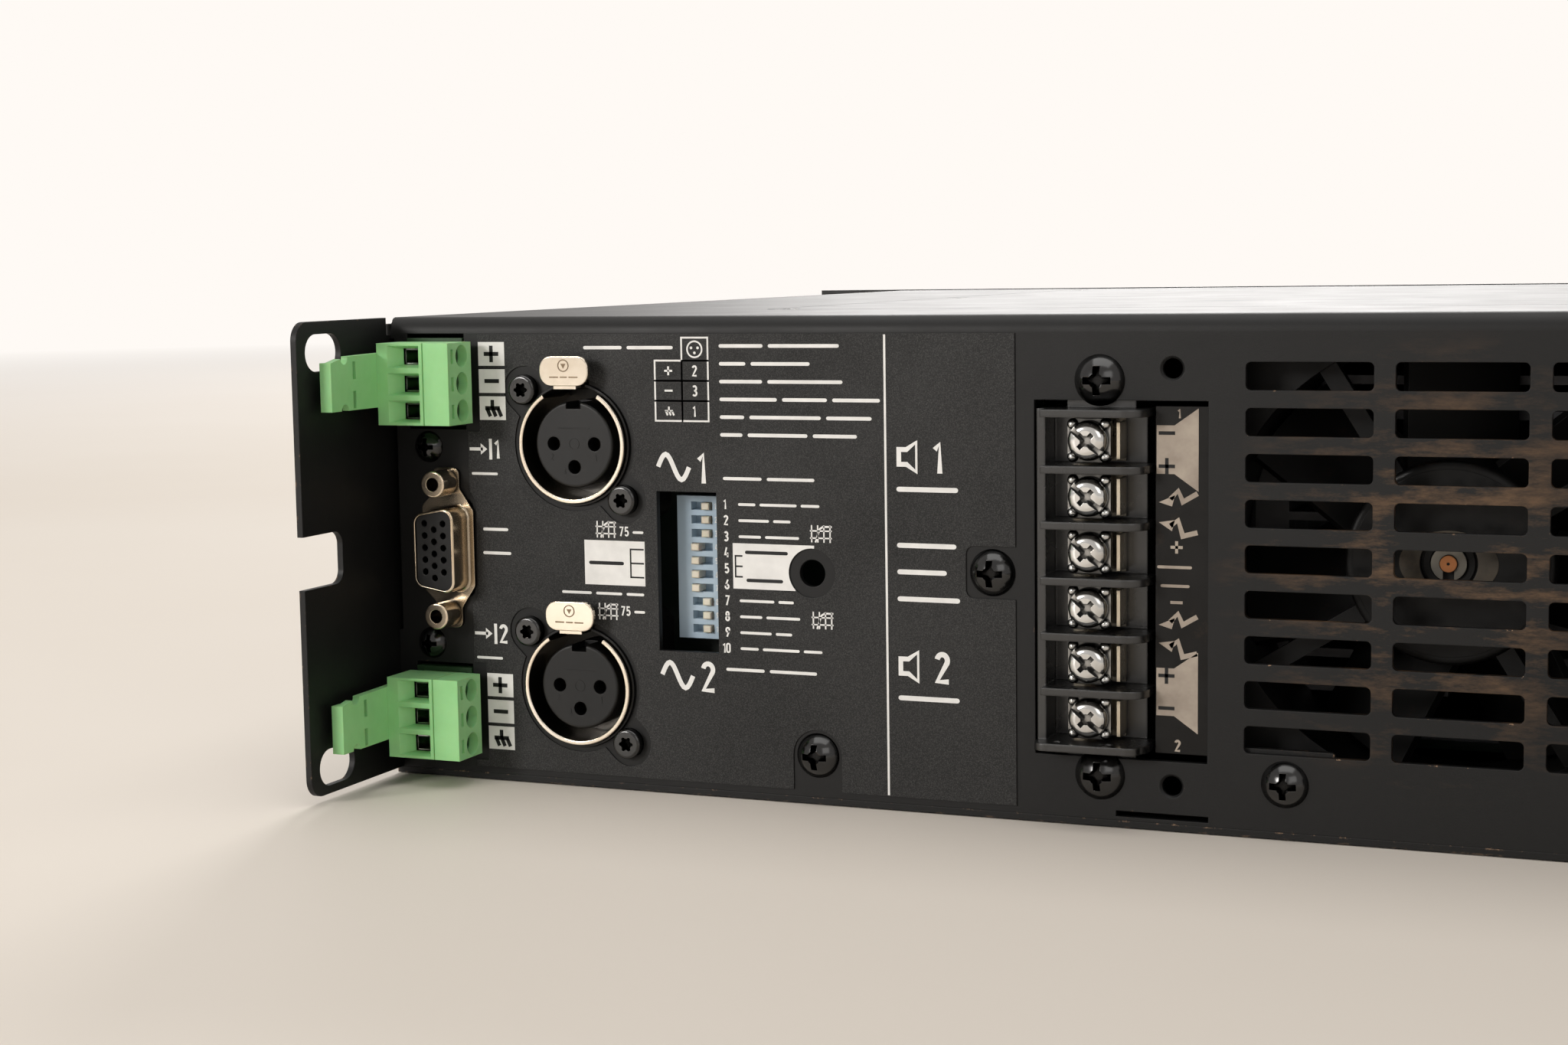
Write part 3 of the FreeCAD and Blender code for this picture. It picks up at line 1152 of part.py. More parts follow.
def mains_leads():
    """From the inlet's blades down to the floor and across to the transformer."""
    u, v = INLET
    leads = []
    for rank, (du, dv) in enumerate(INLET_BLADES):
        x, z = HALF_W - u - du, BASE_Z + v + dv
        low = BASE_Z + SHEET + 2.0 + 6.0 * rank
        y = BODY_D - 40.0 - 5.0 * rank
        far_x = TRANSFORMER[0] + 12 + 5.0 * rank
        leads.append(cable([(x, BODY_D - 30.0, z), (x, y, z), (x, y, low), (far_x, y, low),
                            (far_x, TRANSFORMER[1] + TRANSFORMER_R + CLEAR, low)], 1.5))
    return leads


def switch_leads():
    leads = []
    for rank in range(3):
        z = ROCKER_Z + (rank - 1) * 7.5
        x, far_x, y = ROCKER_X, ROCKER_X + 16.0, 60.0 + 6.0 * rank
        leads.append(cable([(x, 27.9, z), (x, 34.0, z), (far_x, 34.0, z), (far_x, y, z),
                            (far_x, y, BOARD_TOP_Z)], 1.5))
    return leads


def ribbon_cable():
    """Flat cable from the control board, under the lid and down to the input board."""
    x0, x1, t = 108.0, 134.0, 1.0
    top = BASE_Z + BODY_H - 8.0
    front, rear = 21.7, 262.0
    low = BASE_Z + 63.0
    return fuse(block(x0, x1, front, front + t, -33.0, top + t),
                block(x0, x1, front, rear, top, top + t),
                block(x0, x1, rear - t, rear, low, top + t),
                block(x0, x1, rear - t, BODY_D + INPUT_BOARD_W - BOARD_T - 6, low, low + t))


def build_wiring():
    return group(speaker_leads() + mains_leads() + switch_leads() + [ribbon_cable()])


def panel_screws():
    """Screws seen on the rear panel: spacers, tray tabs, terminal strip and mains inlet."""
    screws = [(pan_screw(head, shank_radius(head), 6.0), u, v, 0) for u, v, head in STANDOFF_SCREWS]
    screws += [(pan_screw(head, LARGE_SHANK_R, 6.0), u, v, 0) for u, v, head in TAB_SCREWS]
    screws += [(pan_screw(BARRIER_LUG_HEAD, LARGE_SHANK_R, 6.5), BARRIER_U, v, 0)
               for v in BARRIER_LUG_V]
    screws += [(flat_screw(3.3, 1.6, 8.0), INLET[0], INLET[1] + s * 20.0, 2.98) for s in (-1, 1)]
    return [on_rear(moved(screw, u, v, w)) for screw, u, v, w in screws]


def board_screws():
    """Screws that hold the boards: from inside for the upright ones, on top for the flat one."""
    screw = pan_screw(BOARD_SCREW_HEAD, SMALL_SHANK_R, BOARD_SCREW_L)
    turned = placed(screw, UPSIDE_DOWN)
    back = INPUT_BOARD_W - BOARD_T
    screws = [on_rear(moved(turned, u, v, back)) for u, v, head in STANDOFF_SCREWS]
    back = -CONTROL_BOARD_Y - BOARD_T
    screws += [on_front(moved(turned, x, z, back)) for x, z in control_standoff_places()]
    screws += [moved(screw, x, y, BOARD_TOP_Z) for x, y in amp_standoff_places()]
    return screws


def device_screws():
    """One screw through each output transistor into the heat sink's wall."""
    screws = []
    for u_face, s, w in device_places():
        screw = pan_screw(BOARD_SCREW_HEAD, SMALL_SHANK_R, DEVICE[2] + SINK_WALL - 1.5)
        screw.rotate(Vector(0, 0, 0), Vector(0, 1, 0), s * 90)
        screws.append(on_rear(moved(screw, u_face + s * DEVICE[2], DEVICE_SCREW_V, w)))
    return screws


def build_chassis_screws():
    """All the black screws: panels, boards, output transistors, fan and floor."""
    fan_screw = pan_screw(6.4, FAN_SCREW_R, FAN_DEPTH + 5)
    floor_screw = placed(flat_screw(FLOOR_HEAD_R, SMALL_SHANK_R, 5.0), UPSIDE_DOWN)
    face_screw = placed(pan_screw(BOARD_SCREW_HEAD, SMALL_SHANK_R, FACE_SCREW_L), UPSIDE_DOWN)
    shapes = panel_screws() + board_screws() + device_screws()
    shapes += [fan_place(moved(fan_screw, x, y, 0)) for x, y in fan_hole_places()]
    shapes += [moved(floor_screw, x, y, BASE_Z) for x, y in amp_standoff_places()]
    shapes += [on_front(moved(face_screw, x, z, -SHEET)) for x, z in face_screw_places()]
    return group(shapes)


NODES = {
    "chassis_tray": build_chassis_tray,
    "rear_top_shell": build_rear_top_shell,
    "top_cover": build_top_cover,
    "cover_screws": build_cover_screws,
    "front_panel": build_front_panel,
    "input_overlay": build_input_overlay,
    "led_lenses": build_led_lenses,
    "control_board": build_control_board,
    "gain_pots": build_gain_pots,
    "power_rocker": build_power_rocker,
    "power_switch_housing": build_power_switch_housing,
    "xlr_contacts": build_xlr_contacts,
    "xlr_screws": build_xlr_screws,
    "data_shell": build_data_shell,
    "data_insert": build_data_insert,
    "data_jackscrews": build_data_jackscrews,
    "dip_body": build_dip_body,
    "barrier_block": build_barrier_block,
    "barrier_terminals": build_barrier_terminals,
    "barrier_screws": build_barrier_screws,
    "output_legend_card": build_output_legend_card,
    "fan_frame": build_fan_frame,
    "fan_rotor": build_fan_rotor,
    "fan_clip": build_fan_clip,
    "input_board": build_input_board,
    "amp_board": build_amp_board,
    "board_standoffs": build_board_standoffs,
    "heat_sink": build_heat_sink,
    "output_transistors": build_output_transistors,
    "transformer": build_transformer,
    "reservoir_capacitors": build_reservoir_capacitors,
    "mains_inlet": build_mains_inlet,
    "wiring": build_wiring,
    "chassis_screws": build_chassis_screws,
}


def build_all():
    shapes = {name: make() for name, make in NODES.items()}
    for number, x in enumerate(KNOB_X, 1):
        shapes[f"gain_knob_{number}"] = build_gain_knob(x)
        shapes[f"gain_shaft_{number}"] = build_gain_shaft(x)
    for number, (u, v) in enumerate(XLR_CENTRES, 1):
        shapes[f"xlr_housing_{number}"] = build_xlr_housing(u, v)
        shapes[f"xlr_ring_{number}"] = build_xlr_ring(u, v)
        shapes[f"xlr_latch_{number}"] = build_xlr_latch(u, v)
    for number, v in enumerate(BLOCK_V, 1):
        shapes[f"terminal_header_{number}"] = build_terminal_header(v)
        shapes[f"terminal_plug_{number}"] = build_terminal_plug(v)
        shapes[f"plug_clamps_{number}"] = build_plug_clamps(v)
    for index in range(len(DIP_ON)):
        shapes[f"dip_slider_{index + 1:02d}"] = build_dip_slider(index)
    return shapes


os.makedirs("parts", exist_ok=True)
for node, shape in build_all().items():
    shape.exportStep(f"parts/{node}.step")
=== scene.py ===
import math

import bmesh
import bpy
from mathutils import Matrix, Vector


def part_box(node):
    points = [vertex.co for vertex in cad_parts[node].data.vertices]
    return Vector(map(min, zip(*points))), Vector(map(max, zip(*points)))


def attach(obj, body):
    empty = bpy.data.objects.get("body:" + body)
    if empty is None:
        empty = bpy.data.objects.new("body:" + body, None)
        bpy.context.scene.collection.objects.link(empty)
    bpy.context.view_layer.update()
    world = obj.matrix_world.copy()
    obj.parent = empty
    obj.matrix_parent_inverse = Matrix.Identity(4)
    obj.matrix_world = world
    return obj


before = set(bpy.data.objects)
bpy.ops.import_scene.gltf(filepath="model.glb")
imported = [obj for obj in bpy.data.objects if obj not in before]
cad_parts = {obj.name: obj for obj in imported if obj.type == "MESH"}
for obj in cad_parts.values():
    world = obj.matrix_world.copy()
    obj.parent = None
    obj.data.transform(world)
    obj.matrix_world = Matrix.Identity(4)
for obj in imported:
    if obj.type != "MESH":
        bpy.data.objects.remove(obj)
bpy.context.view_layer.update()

MM = 0.001
CHANNELS = (1, 2)

# Rear panel coordinates in millimetres, seen from behind the unit: u to the right from the
# tray's side, v up from its underside, w out from the panel's face.
TRAY_LOW, TRAY_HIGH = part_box("chassis_tray")
SHELL_LOW, SHELL_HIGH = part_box("rear_top_shell")
FACE_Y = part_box("front_panel")[0].y


def rear(u, v, w):
    return Vector((TRAY_HIGH.x - u * MM, SHELL_HIGH.y + w * MM, TRAY_LOW.z + v * MM))


def panel_box(node):
    """A CAD node's box in panel coordinates: (u0, u1, v0, v1, w0, w1)."""
    low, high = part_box(node)
    return ((TRAY_HIGH.x - high.x) / MM, (TRAY_HIGH.x - low.x) / MM,
            (low.z - TRAY_LOW.z) / MM, (high.z - TRAY_LOW.z) / MM,
            (low.y - SHELL_HIGH.y) / MM, (high.y - SHELL_HIGH.y) / MM)


def front(x, z, out):
    """Faceplate coordinates in millimetres: x right and z up seen from the front, out from it."""
    return Vector((x * MM, FACE_Y - out * MM, z * MM))


# ---- materials ----
class Graph:
    """A node material; inputs are sockets, numbers or colours, named or numbered."""

    def __init__(self, name):
        self.material = bpy.data.materials.new(name)
        self.material.use_nodes = True
        self.tree = self.material.node_tree
        self.tree.nodes.clear()

    def add(self, kind, inputs=(), **settings):
        node = self.tree.nodes.new("ShaderNode" + kind)
        for name, value in settings.items():
            setattr(node, name, value)
        for name, value in dict(inputs).items():
            if isinstance(value, bpy.types.NodeSocket):
                self.tree.links.new(value, node.inputs[name])
            else:
                node.inputs[name].default_value = value
        return node

    def math(self, operation, a, b=0.0, clamp=False):
        return self.add("Math", {0: a, 1: b}, operation=operation, use_clamp=clamp).outputs[0]

    def ramp(self, value, low, high, start=0.0, end=1.0):
        inputs = {"Value": value, "From Min": low, "From Max": high, "To Min": start, "To Max": end}
        return self.add("MapRange", inputs).outputs[0]

    def mix(self, factor, a, b):
        inputs = {0: factor, 6: a, 7: b}
        return self.add("Mix", inputs, data_type="RGBA").outputs[2]

    def noise(self, scale, detail=3.0, rough=0.55, offset=(0, 0, 0), stretch=(1, 1, 1)):
        """Noise in object space with this many cells per metre."""
        place = self.add("Mapping", {"Vector": self.place, "Location": offset, "Scale": stretch})
        inputs = {"Vector": place.outputs[0], "Scale": scale, "Detail": detail, "Roughness": rough}
        return self.add("TexNoise", inputs).outputs[0]


def rgb(red, green, blue):
    """A display colour, 0 to 255, as a linear colour."""
    linear = [(c / 255 / 12.92) if c <= 10 else ((c / 255 + 0.055) / 1.055) ** 2.4
              for c in (red, green, blue)]
    return (*linear, 1.0)


def finish(name, base, second, rough=0.5, spread=0.12, metal=0.0, clouds=60.0, grain=2500.0,
           bump=0.15, depth=0.03, edge=0.15, wear=None, wear_amount=0.5, dust=None, dust_amount=0.0,
           smears=0.0, sparkle=0.0, brushed=None, subsurface=0.0, transmission=0.0, coat=0.0,
           gleam=0.5, dusty_spot=None, painted_recess_shade=None):
    """A procedural surface: two mottled colours, uneven gloss, fine relief, softened and worn
    edges, dust that settles on upward faces or in streaks round dusty_spot, smears, metal-flake
    sparkle and painted shade in recesses. Lengths (depth, edge, the reach of the painted recess
    shade, the reach of dusty_spot) are in millimetres; clouds and grain are noise cells per metre.
    A negative wear_amount leaves only a trace of wear."""
    g = Graph(name)
    g.place = g.add("TexCoord").outputs["Object"]
    patches = g.noise(clouds, 4.0, 0.6)
    fine = g.noise(grain, 2.0, 0.6, (3, 1, 2), brushed or (1, 1, 1))
    colour = g.mix(g.ramp(patches, 0.35, 0.68), base, second)
    gloss = g.ramp(patches, 0.3, 0.7, max(0.02, rough - spread), min(1.0, rough + spread))
    if smears:
        smear = g.noise(180.0, 5.0, 0.7, (7, 2, 5), (0.25, 1, 1))
        gloss = g.math("ADD", gloss, g.ramp(smear, 0.5, 0.75, 0.0, smears), True)
    metallic = metal
    round_edge = g.add("Bevel", {"Radius": edge * MM}, samples=4)
    relief = g.add("Bump", {"Strength": bump, "Distance": depth * MM, "Height": fine,
                            "Normal": round_edge.outputs[0]})
    if wear:
        facing = g.add("NewGeometry")
        wide = g.add("Bevel", {"Radius": edge * 2.2 * MM}, samples=4)
        turn = g.add("VectorMath", {0: wide.outputs[0], 1: facing.outputs["True Normal"]},
                     operation="DOT_PRODUCT").outputs["Value"]
        edges = g.ramp(turn, 0.985, 0.90)
        broken = g.ramp(g.noise(420.0, 5.0, 0.75, (1, 8, 4)), 0.60 - 0.25 * wear_amount, 0.66)
        worn = g.math("MULTIPLY", edges, broken, True)
        colour = g.mix(worn, colour, wear)
        metallic = g.math("MAXIMUM", g.math("MULTIPLY", worn, 0.9), metal)
    if sparkle:
        flakes = g.noise(grain * 1.7, 2.0, 0.7, (5, 5, 1))
        spark = g.ramp(flakes, 0.46, 0.72, 0.0, sparkle)
        colour = g.mix(spark, colour, FLAKE_GREY)
    if dust:
        normal = g.add("NewGeometry").outputs["Normal"]
        up = g.add("SeparateXYZ", {0: normal}).outputs[2]
        settled = g.ramp(up, 0.0, 0.8, 0.5 if dusty_spot else 0.3, 1.0)
        streaks = (0.3, 1, 1.2) if dusty_spot else (1, 1, 1)
        thin, thick = (0.5, 0.7) if dusty_spot else (0.62 - 0.3 * dust_amount, 0.78)
        fluff = g.ramp(g.noise(140.0, 6.0, 0.75, (2, 9, 6), streaks), thin, thick)
        if dusty_spot:
            spot, reach = dusty_spot
            away = g.add("VectorMath", {0: g.place, 1: spot}, operation="DISTANCE").outputs["Value"]
            near = g.ramp(away, reach * MM, reach * 0.4 * MM)
            height = g.add("SeparateXYZ", {0: g.place}).outputs[2]
            under_top = g.ramp(height, SHELL_HIGH.z - MM, SHELL_HIGH.z - 3 * MM)
            fluff = g.math("MULTIPLY", g.math("MULTIPLY", fluff, near), under_top)
        amount = g.math("MULTIPLY", settled, fluff, True)
        amount = g.math("MULTIPLY", amount, min(1.0, 0.35 + dust_amount), True)
        colour = g.mix(amount, colour, dust)
        gloss = g.math("MAXIMUM", gloss, g.math("MULTIPLY", amount, 0.95))
    # Painted shade: an ambient-occlusion mask darkens the colour and the specular level in recesses
    # such as screw recesses and bores.
    if painted_recess_shade:
        open_sky = g.add("AmbientOcclusion", {"Distance": painted_recess_shade * MM}, samples=8).outputs["AO"]
        lit = g.ramp(open_sky, 0.55, 0.95)
        colour = g.mix(lit, tuple(c * 0.08 for c in base[:3]) + (1.0,), colour)
        gleam = g.math("MULTIPLY", lit, gleam)
    inputs = {"Base Color": colour, "Roughness": gloss, "Metallic": metallic,
              "Normal": relief.outputs[0], "Subsurface Weight": subsurface,
              "Subsurface Scale": 0.8 * MM, "Transmission Weight": transmission,
              "Coat Weight": coat, "Coat Roughness": 0.15, "Specular IOR Level": gleam}
    shader = g.add("BsdfPrincipled", inputs)
    out = g.add("OutputMaterial")
    g.tree.links.new(shader.outputs[0], out.inputs[0])
    return g.material


FLAKE_GREY = (0.17, 0.17, 0.165, 1.0)
BROWN_DUST = rgb(118, 92, 66)
GRILLE_DUST = rgb(140, 108, 78)
GRILLE_DUST_REACH = 40.0
# Colour of the case's worn edges, tinted warm: partly bared metal, partly painted highlight
# standing in for warm glints on the edges.
WORN_EDGE_AND_GLINT = rgb(150, 124, 102)
GREY_METAL = rgb(150, 150, 152)

FRAME_LOW, FRAME_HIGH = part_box("fan_frame")
HUB = Vector(((FRAME_LOW.x + FRAME_HIGH.x) / 2, FRAME_HIGH.y, (FRAME_LOW.z + FRAME_HIGH.z) / 2))

# Some finishes end with the reach, in mm, of the painted shade in their recesses.
FINISHES = {
    "case_black": dict(base=rgb(12, 12, 12), second=rgb(10, 10, 10), rough=0.5, grain=3200.0,
                       bump=0.35, depth=0.05, wear=WORN_EDGE_AND_GLINT, wear_amount=-0.2, edge=0.25,
                       spread=0.03, dust=BROWN_DUST, dust_amount=0.0, smears=0.05, gleam=0.32),
    "face_black": dict(base=rgb(15, 15, 16), second=rgb(11, 11, 12), rough=0.42, grain=2600.0,
                       bump=0.2, wear=GREY_METAL, wear_amount=0.2, smears=0.2, dust=BROWN_DUST,
                       dust_amount=0.02, gleam=0.4),
    "overlay_graphite": dict(base=rgb(24, 24, 24), second=rgb(19, 19, 19), rough=0.56,
                             grain=3000.0, bump=0.7, depth=0.07, sparkle=0.26, spread=0.1,
                             edge=0.08, clouds=35.0, gleam=0.3),
    "legend_film": dict(base=rgb(8, 7, 6), second=rgb(13, 11, 9), rough=0.4, bump=0.1,
                        dust=BROWN_DUST, dust_amount=0.06, clouds=120.0, gleam=0.25),
    "screw_black": dict(base=rgb(5, 5, 5), second=rgb(3, 3, 3), rough=0.17, grain=900.0,
                        bump=0.05, wear=rgb(96, 84, 72), wear_amount=0.15, edge=0.12,
                        gleam=0.75, spread=0.04, painted_recess_shade=2.0),
    "screw_nickel": dict(base=rgb(224, 224, 222), second=rgb(190, 188, 184), rough=0.16,
                         metal=1.0, grain=1500.0, bump=0.2, spread=0.07, edge=0.15,
                         dust=rgb(96, 84, 70), dust_amount=0.02, painted_recess_shade=1.2),
    # The warm tint is partly the shell's own gold tone and partly painted reflection of warm
    # surroundings.
    "nickel_shell": dict(base=rgb(226, 212, 190), second=rgb(202, 182, 154), rough=0.2, metal=1.0,
                         grain=700.0, bump=0.04, spread=0.05, edge=0.2, dust=rgb(104, 84, 62),
                         dust_amount=0.02, painted_recess_shade=2.5),
    "chrome_ring": dict(base=rgb(232, 223, 209), second=rgb(214, 201, 182), rough=0.15, metal=1.0,
                        grain=900.0, bump=0.06, spread=0.05, edge=0.12),
    "terminal_brass": dict(base=rgb(214, 206, 190), second=rgb(176, 162, 138), rough=0.28,
                           metal=1.0, grain=1500.0, bump=0.12, edge=0.15, dust=rgb(90, 76, 60),
                           dust_amount=0.05, painted_recess_shade=2.0),
    "black_moulding": dict(base=rgb(10, 10, 10), second=rgb(7, 7, 7), rough=0.38, grain=1900.0,
                           bump=0.15, dust=rgb(96, 84, 70), dust_amount=0.02, edge=0.25,
                           wear=rgb(70, 68, 66), wear_amount=0.12, gleam=0.38),
    "green_moulding": dict(base=rgb(158, 218, 150), second=rgb(146, 208, 138), rough=0.42,
                           grain=1500.0, bump=0.12, edge=0.22, subsurface=0.2, spread=0.06,
                           clouds=90.0, dust=rgb(150, 158, 120), dust_amount=0.03, gleam=0.4),
    "switch_blue": dict(base=rgb(184, 204, 219), second=rgb(168, 190, 208), rough=0.5,
                        grain=2200.0, bump=0.15, dust=rgb(150, 146, 136), dust_amount=0.04),
    "actuator_cream": dict(base=rgb(236, 230, 212), second=rgb(216, 206, 186), rough=0.42,
                           grain=2500.0, bump=0.1, subsurface=0.15, dust=rgb(140, 128, 108),
                           dust_amount=0.06),
    # The base is darker than the fan's black plastic: partly painted shade for the fan deep behind
    # the grille.
    "fan_plastic": dict(base=rgb(6, 6, 6), second=rgb(9, 8, 7), rough=0.5, bump=0.15,
                        dust=rgb(66, 48, 34), dust_amount=0.16, gleam=0.25),
    "board_green": dict(base=rgb(20, 52, 34), second=rgb(14, 42, 28), rough=0.35, bump=0.3,
                        grain=900.0, depth=0.06, dust=BROWN_DUST, dust_amount=0.12, coat=0.2),
    "sink_aluminium": dict(base=rgb(92, 92, 94), second=rgb(78, 78, 80), rough=0.5,
                           metal=0.9, brushed=(1, 0.03, 1), bump=0.25, dust=BROWN_DUST,
                           dust_amount=0.2),
    "device_epoxy": dict(base=rgb(24, 24, 26), second=rgb(18, 18, 20), rough=0.55, bump=0.2,
                         dust=BROWN_DUST, dust_amount=0.1),
    "winding_tape": dict(base=rgb(196, 148, 52), second=rgb(176, 126, 40), rough=0.35, coat=0.4,
                         brushed=(1, 1, 0.15), bump=0.4, depth=0.2, grain=500.0,
                         dust=BROWN_DUST, dust_amount=0.15),
    "capacitor_sleeve": dict(base=rgb(30, 44, 92), second=rgb(24, 36, 80), rough=0.3, coat=0.5,
                             bump=0.1, dust=BROWN_DUST, dust_amount=0.15),
    "lead_insulation": dict(base=rgb(150, 34, 30), second=rgb(126, 28, 26), rough=0.42, bump=0.1,
                            dust=BROWN_DUST, dust_amount=0.15),
    "spacer_steel": dict(base=rgb(186, 186, 184), second=rgb(160, 158, 154), rough=0.3, metal=1.0,
                         brushed=(1, 1, 0.1), bump=0.15),
    "contact_gold": dict(base=rgb(60, 50, 34), second=rgb(44, 36, 26), rough=0.35, metal=1.0,
                         bump=0.1, grain=1200.0),
    "lens_clear": dict(base=rgb(196, 224, 190), second=rgb(176, 208, 172), rough=0.12,
                       transmission=0.5, bump=0.05, coat=0.5),
    "knob_black": dict(base=rgb(20, 20, 21), second=rgb(15, 15, 16), rough=0.5, bump=0.25,
                       wear=rgb(92, 90, 88), wear_amount=0.2, edge=0.2),
    "rocker_black": dict(base=rgb(18, 18, 19), second=rgb(13, 13, 14), rough=0.34, bump=0.15,
                         edge=0.2),
}
EXTRA = {
    "ink_white": dict(base=rgb(242, 241, 238), second=rgb(228, 227, 224), rough=0.5, bump=0.25,
                      grain=2600.0, depth=0.02, clouds=200.0, edge=0.01, gleam=0.3),
    "ink_dark": dict(base=rgb(24, 24, 24), second=rgb(18, 18, 18), rough=0.5, bump=0.3,
                     grain=2400.0, edge=0.01, gleam=0.3),
    "ink_pale": dict(base=rgb(176, 164, 150), second=rgb(150, 138, 126), rough=0.5, bump=0.2,
                     clouds=160.0, dust=BROWN_DUST, dust_amount=0.2, edge=0.01, gleam=0.3),
    # Painted highlight: lighter than the insert's black moulding, standing in for light caught by
    # the raised contact numbers.
    "moulded_mark_painted_highlight": dict(base=rgb(34, 34, 34), second=rgb(27, 27, 27), rough=0.5, bump=0.1,
                         edge=0.02, gleam=0.3),
    "strip_moulding": dict(base=rgb(12, 12, 12), second=rgb(9, 9, 9), rough=0.27, grain=1900.0,
                           bump=0.08, dust=rgb(96, 84, 70), dust_amount=0.02, edge=0.45,
                           spread=0.05, gleam=0.9),
    # Painted shade: darker than the latch's chrome, standing in for shade in the stamped press
    # sign.
    "stamped_mark_painted_shade": dict(base=rgb(132, 116, 96), second=rgb(108, 92, 74), rough=0.4, metal=1.0,
                         bump=0.1, edge=0.03),
    # Painted shade: a darker copy of the plugs' green moulding for the headers that sit in shade
    # behind the plugs.
    "header_green_painted_shade": dict(base=rgb(38, 70, 36), second=rgb(30, 60, 30), rough=0.45, bump=0.12,
                         dust=rgb(90, 92, 70), dust_amount=0.05),
    # Painted shade: the input board seen through the switch window is made near black, darker than
    # its solder mask, for the shade inside the unit.
    "board_painted_shade": dict(base=rgb(12, 26, 19), second=rgb(9, 20, 14), rough=0.4, bump=0.3,
                       grain=900.0, dust=BROWN_DUST, dust_amount=0.05),
    "hub_paper": dict(base=rgb(70, 62, 50), second=rgb(46, 40, 31), rough=0.5, bump=0.2,
                      dust=BROWN_DUST, dust_amount=0.2, clouds=260.0),
    "hub_label": dict(base=rgb(6, 6, 6), second=rgb(10, 9, 8), rough=0.42, bump=0.15,
                      dust=rgb(66, 48, 34), dust_amount=0.14, clouds=200.0, gleam=0.25),
    "hub_bronze": dict(base=rgb(196, 132, 86), second=rgb(150, 96, 58), rough=0.35, metal=0.7,
                       bump=0.2, grain=1200.0),
    "clip_steel": dict(base=rgb(132, 130, 124), second=rgb(98, 94, 86), rough=0.35, metal=0.8,
                       bump=0.2, grain=1200.0),
}
MATERIALS = {name: finish(name, **options) for name, options in {**FINISHES, **EXTRA}.items()}
GRILLE_DIRT = {"dust_amount": 0.6, "dust": GRILLE_DUST, "dusty_spot": (HUB, GRILLE_DUST_REACH)}
MATERIALS["shell_dusty"] = finish("shell_dusty", **{**FINISHES["case_black"], **GRILLE_DIRT})
# The ears' edges get more of it: worn edges that partly stand in as painted highlights.
MATERIALS["ear_wear_and_glint"] = finish("ear_wear_and_glint", **{**FINISHES["case_black"], "wear_amount": 0.12})
# The terminal headers and the input board take darker finishes that are painted shade.
NODE_FINISH = {"rear_top_shell": "shell_dusty", "chassis_tray": "ear_wear_and_glint",
               "fan_clip": "clip_steel", "terminal_header_1": "header_green_painted_shade",
               "terminal_header_2": "header_green_painted_shade", "input_board": "board_painted_shade",
               "barrier_block": "strip_moulding"}

for node_name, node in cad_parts.items():
    slot_name = node.data.materials[0].name.split(".")[0]
    chosen = MATERIALS[NODE_FINISH.get(node_name, slot_name)]
    node.data.materials.clear()
    node.data.materials.append(chosen)


def add_piece(name, mesh, material, body):
    """Turns a bmesh into a piece that rides a body."""
    bmesh.ops.recalc_face_normals(mesh, faces=mesh.faces)
    data = bpy.data.meshes.new(name)
    mesh.to_mesh(data)
    mesh.free()
    piece = bpy.data.objects.new(name, data)
    bpy.context.scene.collection.objects.link(piece)
    data.materials.append(MATERIALS[material])
    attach(piece, body)


# ---- printed and moulded marks: thin closed solids ----
PRINT_WEIGHT = 0.5    # a bar's height, as a share of the small print it stands for
ROOT = 0.012          # how far a mark reaches into the surface under it, mm


